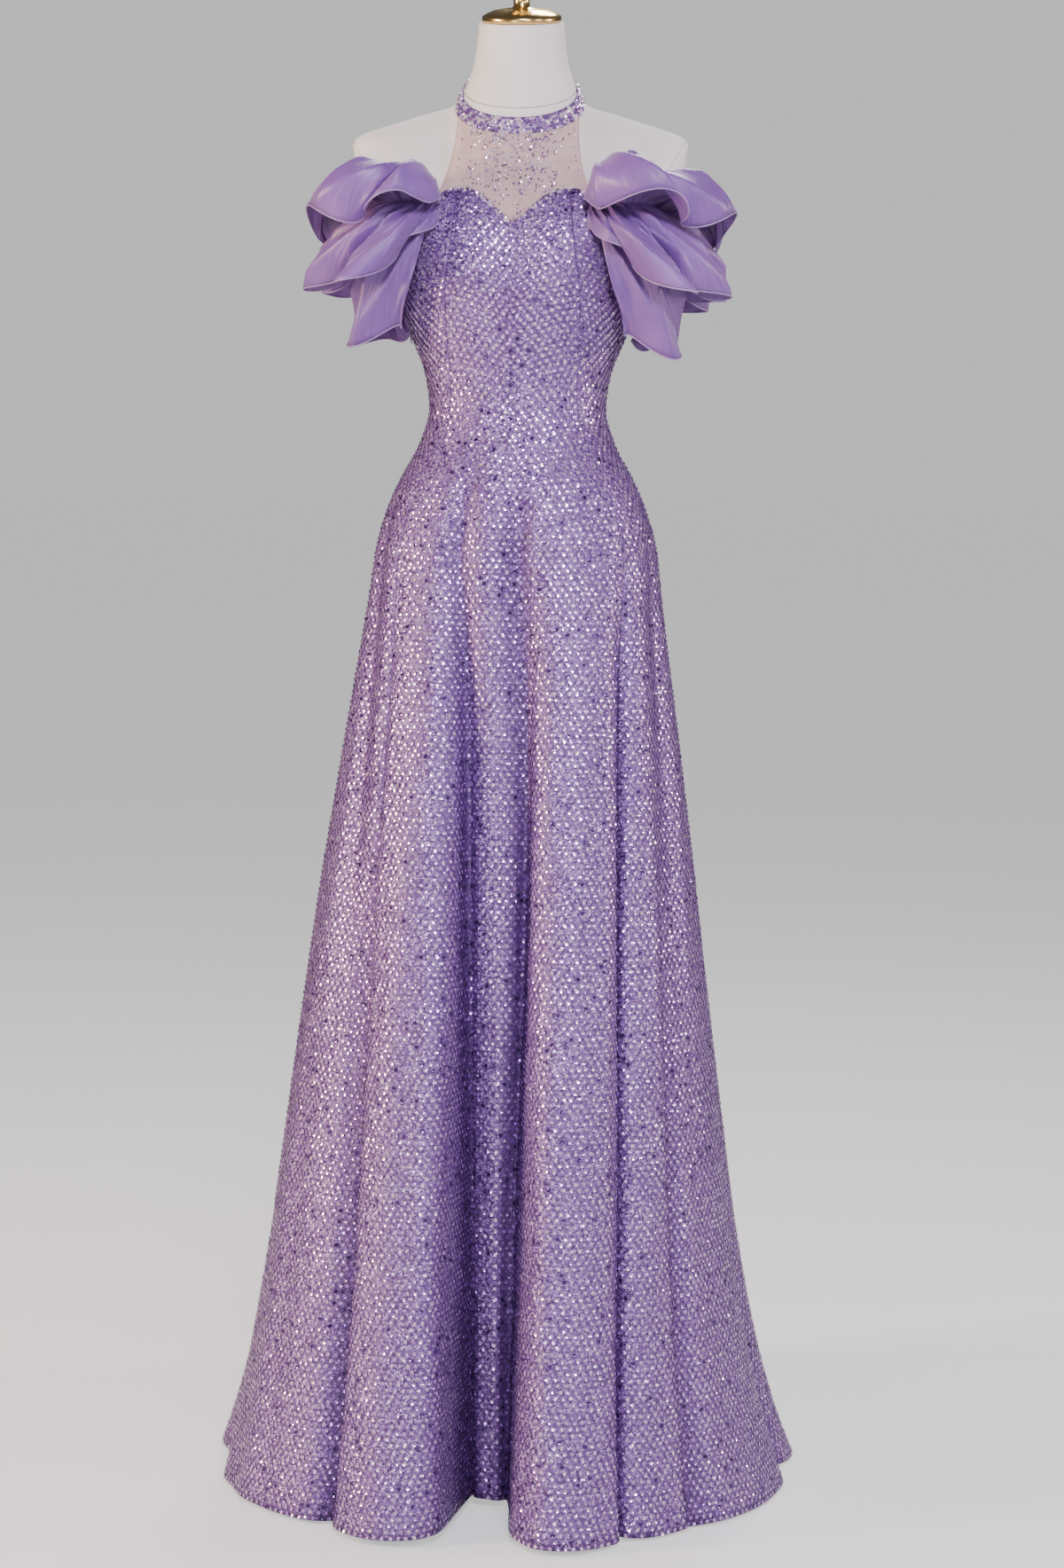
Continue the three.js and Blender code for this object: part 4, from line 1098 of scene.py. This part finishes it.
def make_yoke():
    random = np.random.default_rng(31)
    depth = (CLOTH_WALL - YOKE["wall"]) / 2
    peak = NECKLINE["z"].max()
    top = line_angle(signed_angle(gown_lines["top"]), peak + 0 * gown_lines["top"])
    inside = np.flatnonzero(np.abs(top) < YOKE["edge"])
    low = gown_grid[inside, -1] - depth * gown_normals[inside, -1] + (0, 0, 2 * SEAM_GAP)
    high_angle = top[inside] / YOKE["edge"] * YOKE["top"]
    high_z = collar_height(high_angle) - COLLAR["height"] / 2 - SEAM_GAP
    high = neck_point(high_angle, high_z, COLLAR["clear"] + COLLAR["wall"] - depth)
    share = np.linspace(0, 1, YOKE["rows"])[None, :, None]
    outer = low[:, None] + (high - low)[:, None] * share
    outer[..., 1] -= YOKE["bow"] * np.sin(pi * share[..., 0])
    outer[..., 0] *= 1 - YOKE["waist"] * np.sin(pi * share[..., 0])
    normals = grid_normals(outer, False)
    inner = outer - 0.4 * normals
    across = np.linspace(0, 0.16, len(inside))[:, None] + 0 * share[0, :, 0]
    chart = np.stack([across, 0.11 * share[0, :, 0] + 0 * across], -1).reshape(-1, 2)
    piece = make_piece(
        "yoke_net", *wall(outer, inner), NET, "sheer_mesh", ["yoke"], uv=np.concatenate([chart, chart]),
    )
    for side, line in (("right", outer[0]), ("left", outer[-1])):
        make_piece("yoke_edge_" + side, *cord_points(line, 0.7), NET, "sheer_mesh", uv=np.zeros((len(line) * 8 + 2, 2)))
    count = 1150
    u = np.clip(0.5 + random.normal(0, 0.2, count), 0.03, 0.97) * (len(inside) - 1)
    v = random.random(count) ** 0.9 * (YOKE["rows"] - 2) + 0.5
    keep = random.random(count) < 0.42
    i = u[keep].astype(int)
    j = v[keep].astype(int)
    part = (u[keep] - i)[:, None]
    centres = outer[i, j] * (1 - part) + outer[np.minimum(i + 1, len(inside) - 1), j] * part
    centres[:, 2] += (v[keep] - j) * 3
    facing = normals[i, j]
    sideways = np.cross([0.0, 0, 1], facing)
    sideways /= np.linalg.norm(sideways, axis=1, keepdims=True)
    make_beads("yoke_beads", centres + 0.6 * facing, facing, sideways, random, 0.4, "sheer_mesh")


make_yoke()

# Neckline
# Two close rows of beads bind the sweetheart edge, from underarm to underarm.
EDGE_BEADS = {"pitch": 3.0, "rows": (1.6, 4.4)}


def make_neckline_beads():
    random = np.random.default_rng(37)
    order = np.argsort(signed_angle(gown_lines["top"]))
    angle = signed_angle(gown_lines["top"])[order]
    front = order[np.abs(angle) < 100]
    edge = gown_grid[front, -1]
    down = gown_grid[front, -2] - edge
    down /= np.linalg.norm(down, axis=1, keepdims=True)
    facing = gown_normals[front, -1]
    found = []
    for drop in EDGE_BEADS["rows"]:
        path = edge + down * drop
        run = np.concatenate([[0], np.cumsum(np.linalg.norm(np.diff(path, axis=0), axis=1))])
        places = np.arange(1, run[-1], EDGE_BEADS["pitch"])
        found.append(np.stack([
            np.interp(places, run, values[:, c]) for values in (path, facing) for c in range(3)
        ], -1))
    found = np.concatenate(found)
    normals = found[:, 3:] / np.linalg.norm(found[:, 3:], axis=1, keepdims=True)
    sideways = np.cross([0.0, 0, 1], normals)
    sideways /= np.linalg.norm(sideways, axis=1, keepdims=True)
    make_beads("neckline_beads", found[:, :3] + 0.9 * normals, normals, sideways, random, 0.3)


make_neckline_beads()

# Ruffle sleeves
# Each is one wide strip of satin organza, gathered along its middle round the place of the arm, so that
# one half stands up and the other hangs down, with a narrower flounce under it. All free edges are
# finished with a fine rolled hem.
GATHER = {"x": 120, "y": -10, "inner": 88, "outer": 50, "half_depth": 93.3, "from": -113, "to": 106}
GATHER_RUN = table("at z", [(0, 1430), (0.25, 1427), (0.5, 1415), (0.75, 1388), (1, 1334)])
# Along the sleeve: width of the cloth above the gathers and the angle at which it leaves them, and
# width below the gathers and of the flounce.
SLEEVE_CUT = table("at high lean curl low under", [
    (0, 34, -100, 180, 30, 90),
    (0.07, 96, -104, 224, 48, 138),
    (0.2, 144, -104, 228, 104, 154),
    (0.35, 112, -80, 186, 104, 150),
    (0.5, 92, -70, 168, 96, 138),
    (0.72, 76, -66, 160, 80, 112),
    (1, 34, -84, 150, 45, 60),
])
# Each free edge leaves the gathers at an angle below the level, turns on by another, and is waved.
EDGES = {
    "high": {"leave": 0, "turn": 0, "wave": 0.15, "sway": 11, "swell": 0.04, "flutter": 1.4},
    "low": {"leave": 24, "turn": 80, "wave": 0.34, "sway": 12, "swell": 0.16, "flutter": 1.7},
    "under": {"leave": 72, "turn": 32, "wave": 0.5, "sway": 4, "swell": 0.05, "flutter": 2.1},
}
# side, mirror, size of the cut, and how many waves each free edge has and where in a wave it starts
RUFFLES = [
    ("right", -1, 0.93, {"high": (3.8, 0.66), "low": (5.4, 0.8), "under": (2.9, 0.04)}),
    ("left", 1, 1, {"high": (3.6, 0.5), "low": (5.8, 0.65), "under": (2.6, 0.12)}),
]
SLEEVE = {"wall": 0.8, "columns": 260, "rows": 26, "end_fade": 0.1, "fan": 2}
WAVE = {"uneven": 0.09, "uneven_turns": 2.3, "twist": 1.3}
FLOUNCE = {"from": 0.12, "to": 0.9, "inset": 2.2, "drop": 1.5}


def flounce_grid(share, v, mirror, size, edge, waves, start):
    """Points of a flounce. share runs along its free edge and v from the gathers to that edge. Seen
    along the gathers each line is an arc that leaves at one angle and turns on; the waves change how
    far it turns, so that their crests stand out round and their valleys tuck in. Two sets of ridges,
    one minus the size of a sine, cross the cloth, fine pleats lie at the gathers, and the last of the
    cloth flutters, its crests a little longer."""
    at = share[:, None]
    v = v[None, :]
    form = EDGES[edge]
    root = at ** SLEEVE["fan"] * (1 - v) + at * v
    angle = np.radians(GATHER["from"] + (GATHER["to"] - GATHER["from"]) * root)
    half_width = np.where(np.cos(angle) > 0, GATHER["outer"], GATHER["inner"])
    out_x = np.cos(angle) / half_width
    out_y = np.sin(angle) / GATHER["half_depth"]
    steep = np.hypot(out_x, out_y)
    out_x = out_x / steep
    out_y = out_y / steep
    uneven = WAVE["uneven"] * np.sin(2 * pi * (WAVE["uneven_turns"] * at + start))
    phase = 2 * pi * (waves * at + start + uneven) + WAVE["twist"] * (1 - v)
    fade = np.minimum(1, np.minimum(at, 1 - at) / SLEEVE["end_fade"])
    lobe = fade * np.cos(phase)
    leave = radians(form["leave"])
    turn = radians(form["turn"]) * (1 - form["wave"] * lobe)
    if edge == "high":
        leave = np.radians(read(SLEEVE_CUT, "at", at, "lean"))
        turn = np.radians(read(SLEEVE_CUT, "at", at, "curl")) * (1 - form["wave"] * lobe)
    flutter = v ** 3 * fade * np.sin(form["flutter"] * phase + 2 * v + 5 * start)
    width = size * read(SLEEVE_CUT, "at", at, edge) * (1 + form["swell"] * lobe + 0.035 * flutter)
    way = leave + turn * v
    ridges = 1 - np.abs(np.sin(1.25 * phase + 2.6 * v + 3 * start))
    cross_ridges = 1 - np.abs(np.sin(2.1 * phase - 3.4 * v + 1))
    pleats = 1.6 * np.sin(9 * phase) * np.exp(-5 * v) * np.minimum(1, 8 * v)
    relief = fade * (np.sin(pi * v) ** 0.6 * (8 * ridges ** 1.5 + 5 * cross_ridges ** 1.5 - 3.5) + pleats + 4 * flutter)
    away = width * (np.sin(way) - np.sin(leave)) / turn + relief * np.sin(way)
    fall = width * (np.cos(leave) - np.cos(way)) / turn - relief * np.cos(way)
    aside = form["sway"] * fade * v * np.sin(phase)
    z = read(GATHER_RUN, "at", root, "z") - fall
    if edge == "under":
        away = away - FLOUNCE["inset"]
        z = z - FLOUNCE["drop"]
    x = GATHER["x"] + half_width * np.cos(angle) + out_x * away - out_y * aside
    y = GATHER["y"] + GATHER["half_depth"] * np.sin(angle) + out_y * away + out_x * aside
    return np.stack([mirror * x, y, z], -1)


def make_organza(name, lift):
    """Satin organza: a crosswise sheen over a fine weave, and crinkles that run out from the gathers.
    lift lightens it, as in a rolled hem."""
    material, shader = new_material(name, {
        "Roughness": 0.4,
        "Sheen Weight": 0.35,
        "Sheen Roughness": 0.4,
        "Sheen Tint": (0.95, 0.80, 1.0, 1),
        "Anisotropic": 0.4,
        "Specular IOR Level": 0.6,
    })
    tree = material.node_tree
    place = add_node(tree, "ShaderNodeTexCoord").outputs["Object"]
    chart = add_node(tree, "ShaderNodeUVMap").outputs["UV"]
    weave = add_node(tree, "ShaderNodeGroup", node_tree=WEAVE)
    tree.links.new(chart, weave.inputs["Vector"])
    weave.inputs["Scale"].default_value = 300.0
    tone = add_node(tree, "ShaderNodeTexNoise", {"Vector": place, "Scale": 14.0, "Detail": 3.0})
    colour = ramp(tree, tone.outputs["Fac"], [
        (0.3, (0.17 + lift, 0.075 + lift, 0.30 + lift)),
        (0.55, (0.22 + lift, 0.10 + lift, 0.38 + lift)),
        (0.8, (0.31 + lift, 0.155 + lift, 0.49 + lift)),
    ])
    tree.links.new(colour, shader.inputs["Base Color"])
    stretched = add_node(tree, "ShaderNodeVectorMath", {0: chart, 1: (95.0, 16.0, 1.0)}, operation="MULTIPLY")
    crinkle = add_node(
        tree,
        "ShaderNodeTexNoise",
        {"Vector": stretched.outputs[0], "Scale": 1.0, "Detail": 3.0, "Distortion": 0.6},
    )
    height = add_node(
        tree,
        "ShaderNodeMath",
        {0: weave.outputs["Height"], 1: 0.04, 2: crinkle.outputs["Fac"]},
        operation="MULTIPLY_ADD",
    )
    bump = add_node(
        tree,
        "ShaderNodeBump",
        {"Strength": 0.6, "Distance": 0.004, "Height": height.outputs[0]},
    )
    tree.links.new(bump.outputs["Normal"], shader.inputs["Normal"])
    return material


ORGANZA = make_organza("satin_organza", 0)
ROLLED_HEM = make_organza("rolled_hem", 0.13)


def make_sleeves():
    steps = np.linspace(0, 1, SLEEVE["rows"])
    columns = np.linspace(0, 1, SLEEVE["columns"])
    for side, mirror, size, waves in RUFFLES:
        share = columns if mirror > 0 else columns[::-1]
        lower = flounce_grid(share, steps[::-1], mirror, size, "low", *waves["low"])
        upper = flounce_grid(share, steps[1:], mirror, size, "high", *waves["high"])
        strip = np.concatenate([lower, upper], axis=1)
        part = FLOUNCE["from"] + (FLOUNCE["to"] - FLOUNCE["from"]) * share
        hanging = flounce_grid(part, steps[::-1], mirror, size, "under", *waves["under"])
        for name, node, grid, cut in [
            ("ruffle_", "sleeve_ruffle_", strip, (0.64, 0.24, 0.1)),
            ("flounce_", "sleeve_flounce_", hanging, (0.48, 0.17, 0.052)),
        ]:
            normals = grid_normals(grid, False)
            outer = grid + normals * SLEEVE["wall"] / 2
            inner = grid - normals * SLEEVE["wall"] / 2
            run = np.linspace(0, cut[0], grid.shape[0])[:, None] + 0 * np.arange(grid.shape[1])
            fall = np.linspace(0, cut[1], grid.shape[1])[None, :] + 0 * run
            chart = np.stack([run, fall], -1).reshape(-1, 2)
            piece = make_piece(
                name + side, *wall(outer, inner), ORGANZA, "satin_organza", [node + side],
                uv=np.concatenate([chart, chart]),
            )
            for place, row in (("low", 0), ("high", -1)):
                if place == "high" and name == "flounce_":
                    continue
                make_piece(
                    name + "hem_" + place + "_" + side, *cord_points(grid[:, row], 0.9), ROLLED_HEM, "satin_organza",
                )


make_sleeves()

# Studio
# A plain pale floor, a large soft light in front, a smaller warmer one low on the left, a cool one on
# the right, and the camera at the height and distance of the photograph.
FLOOR_SIZE = 120
FLOOR_LIFT = (0.61, 0.61, 0.62)
BACKDROP = (0.665, 0.665, 0.68)
ROOM_LIGHT = (0.085, 0.08, 0.095)
floor_mesh = bpy.data.meshes.new("floor")
half = FLOOR_SIZE / 2
floor_mesh.from_pydata([(-half, -half, 0), (half, -half, 0), (half, half, 0), (-half, half, 0)], [], [(0, 1, 2, 3)])
floor = bpy.data.objects.new("floor", floor_mesh)
bpy.context.scene.collection.objects.link(floor)
FLOOR_PAINT, floor_shader = new_material("floor_paint", {
    "Base Color": (0.62, 0.62, 0.63, 1),
    "Roughness": 0.9,
    "Emission Strength": 1,
})
floor_tree = FLOOR_PAINT.node_tree
floor_seen = add_node(floor_tree, "ShaderNodeLightPath").outputs["Is Camera Ray"]
floor_tree.links.new(ramp(floor_tree, floor_seen, [(0, (0, 0, 0)), (1, FLOOR_LIFT)]), floor_shader.inputs["Emission Color"])
floor_mesh.materials.append(FLOOR_PAINT)

world = bpy.data.worlds.new("studio")
world.use_nodes = True
sky = world.node_tree
sky_seen = add_node(sky, "ShaderNodeLightPath").outputs["Is Camera Ray"]
sky_colour = ramp(sky, sky_seen, [(0, ROOM_LIGHT), (1, BACKDROP)])
sky.links.new(sky_colour, sky.nodes["Background"].inputs["Color"])
bpy.context.scene.world = world

LIGHTS = [
    ("key", (0.4, -3.2, 2.7), 0.5, 88, (0.94, 0.87, 1.0)),
    ("side", (-3.0, -1.1, 1.4), 0.7, 115, (1.0, 0.76, 0.50)),
    ("fill", (2.6, -1.9, 1.6), 0.8, 18, (0.92, 0.86, 1.0)),
    ("rim", (3.0, 0.1, 1.5), 0.6, 40, (1.0, 0.84, 0.70)),
    ("top", (0.3, 1.8, 3.4), 1.0, 55, (1.0, 1.0, 1.0)),
    ("spark_low", (-0.9, -2.9, 0.7), 0.25, 12, (1.0, 0.96, 1.0)),
    ("spark_right", (1.2, -3.0, 1.5), 0.25, 14, (1.0, 0.96, 1.0)),
    ("spark_high", (0.7, -2.3, 2.9), 0.25, 16, (1.0, 0.97, 0.97)),
]
AIM = np.array([0, 0, 1.0])
for name, place, size, power, colour in LIGHTS:
    lamp = bpy.data.lights.new(name, "AREA")
    lamp.shape = "DISK"
    lamp.size = size
    lamp.energy = power
    lamp.color = colour
    holder = bpy.data.objects.new(name, lamp)
    holder.location = place
    toward = AIM - np.array(place)
    flat = np.hypot(toward[0], toward[1])
    holder.rotation_euler = (np.arctan2(flat, -toward[2]), 0, np.arctan2(-toward[0], toward[1]))
    bpy.context.scene.collection.objects.link(holder)

CAMERA_DISTANCE = 3.57
CAMERA_HEIGHT = 1.173
CAMERA_AZIMUTH = 4.0
CAMERA_PITCH = 6.2
CAMERA_ROLL = 0.55
CAMERA_LENS = 72.5
CAMERA_SHIFT = 0.0113
lens = bpy.data.cameras.new("camera")
lens.lens = CAMERA_LENS
lens.sensor_width = 36
lens.sensor_fit = "AUTO"
lens.shift_x = CAMERA_SHIFT
camera = bpy.data.objects.new("camera", lens)
turn = radians(CAMERA_AZIMUTH)
place = (CAMERA_DISTANCE * np.sin(turn), -CAMERA_DISTANCE * np.cos(turn), CAMERA_HEIGHT)
facing = Euler((radians(90 - CAMERA_PITCH), 0, turn)).to_matrix() @ Matrix.Rotation(radians(CAMERA_ROLL), 3, "Z")
camera.matrix_world = Matrix.Translation(place) @ facing.to_4x4()
bpy.context.scene.collection.objects.link(camera)
bpy.context.scene.camera = camera
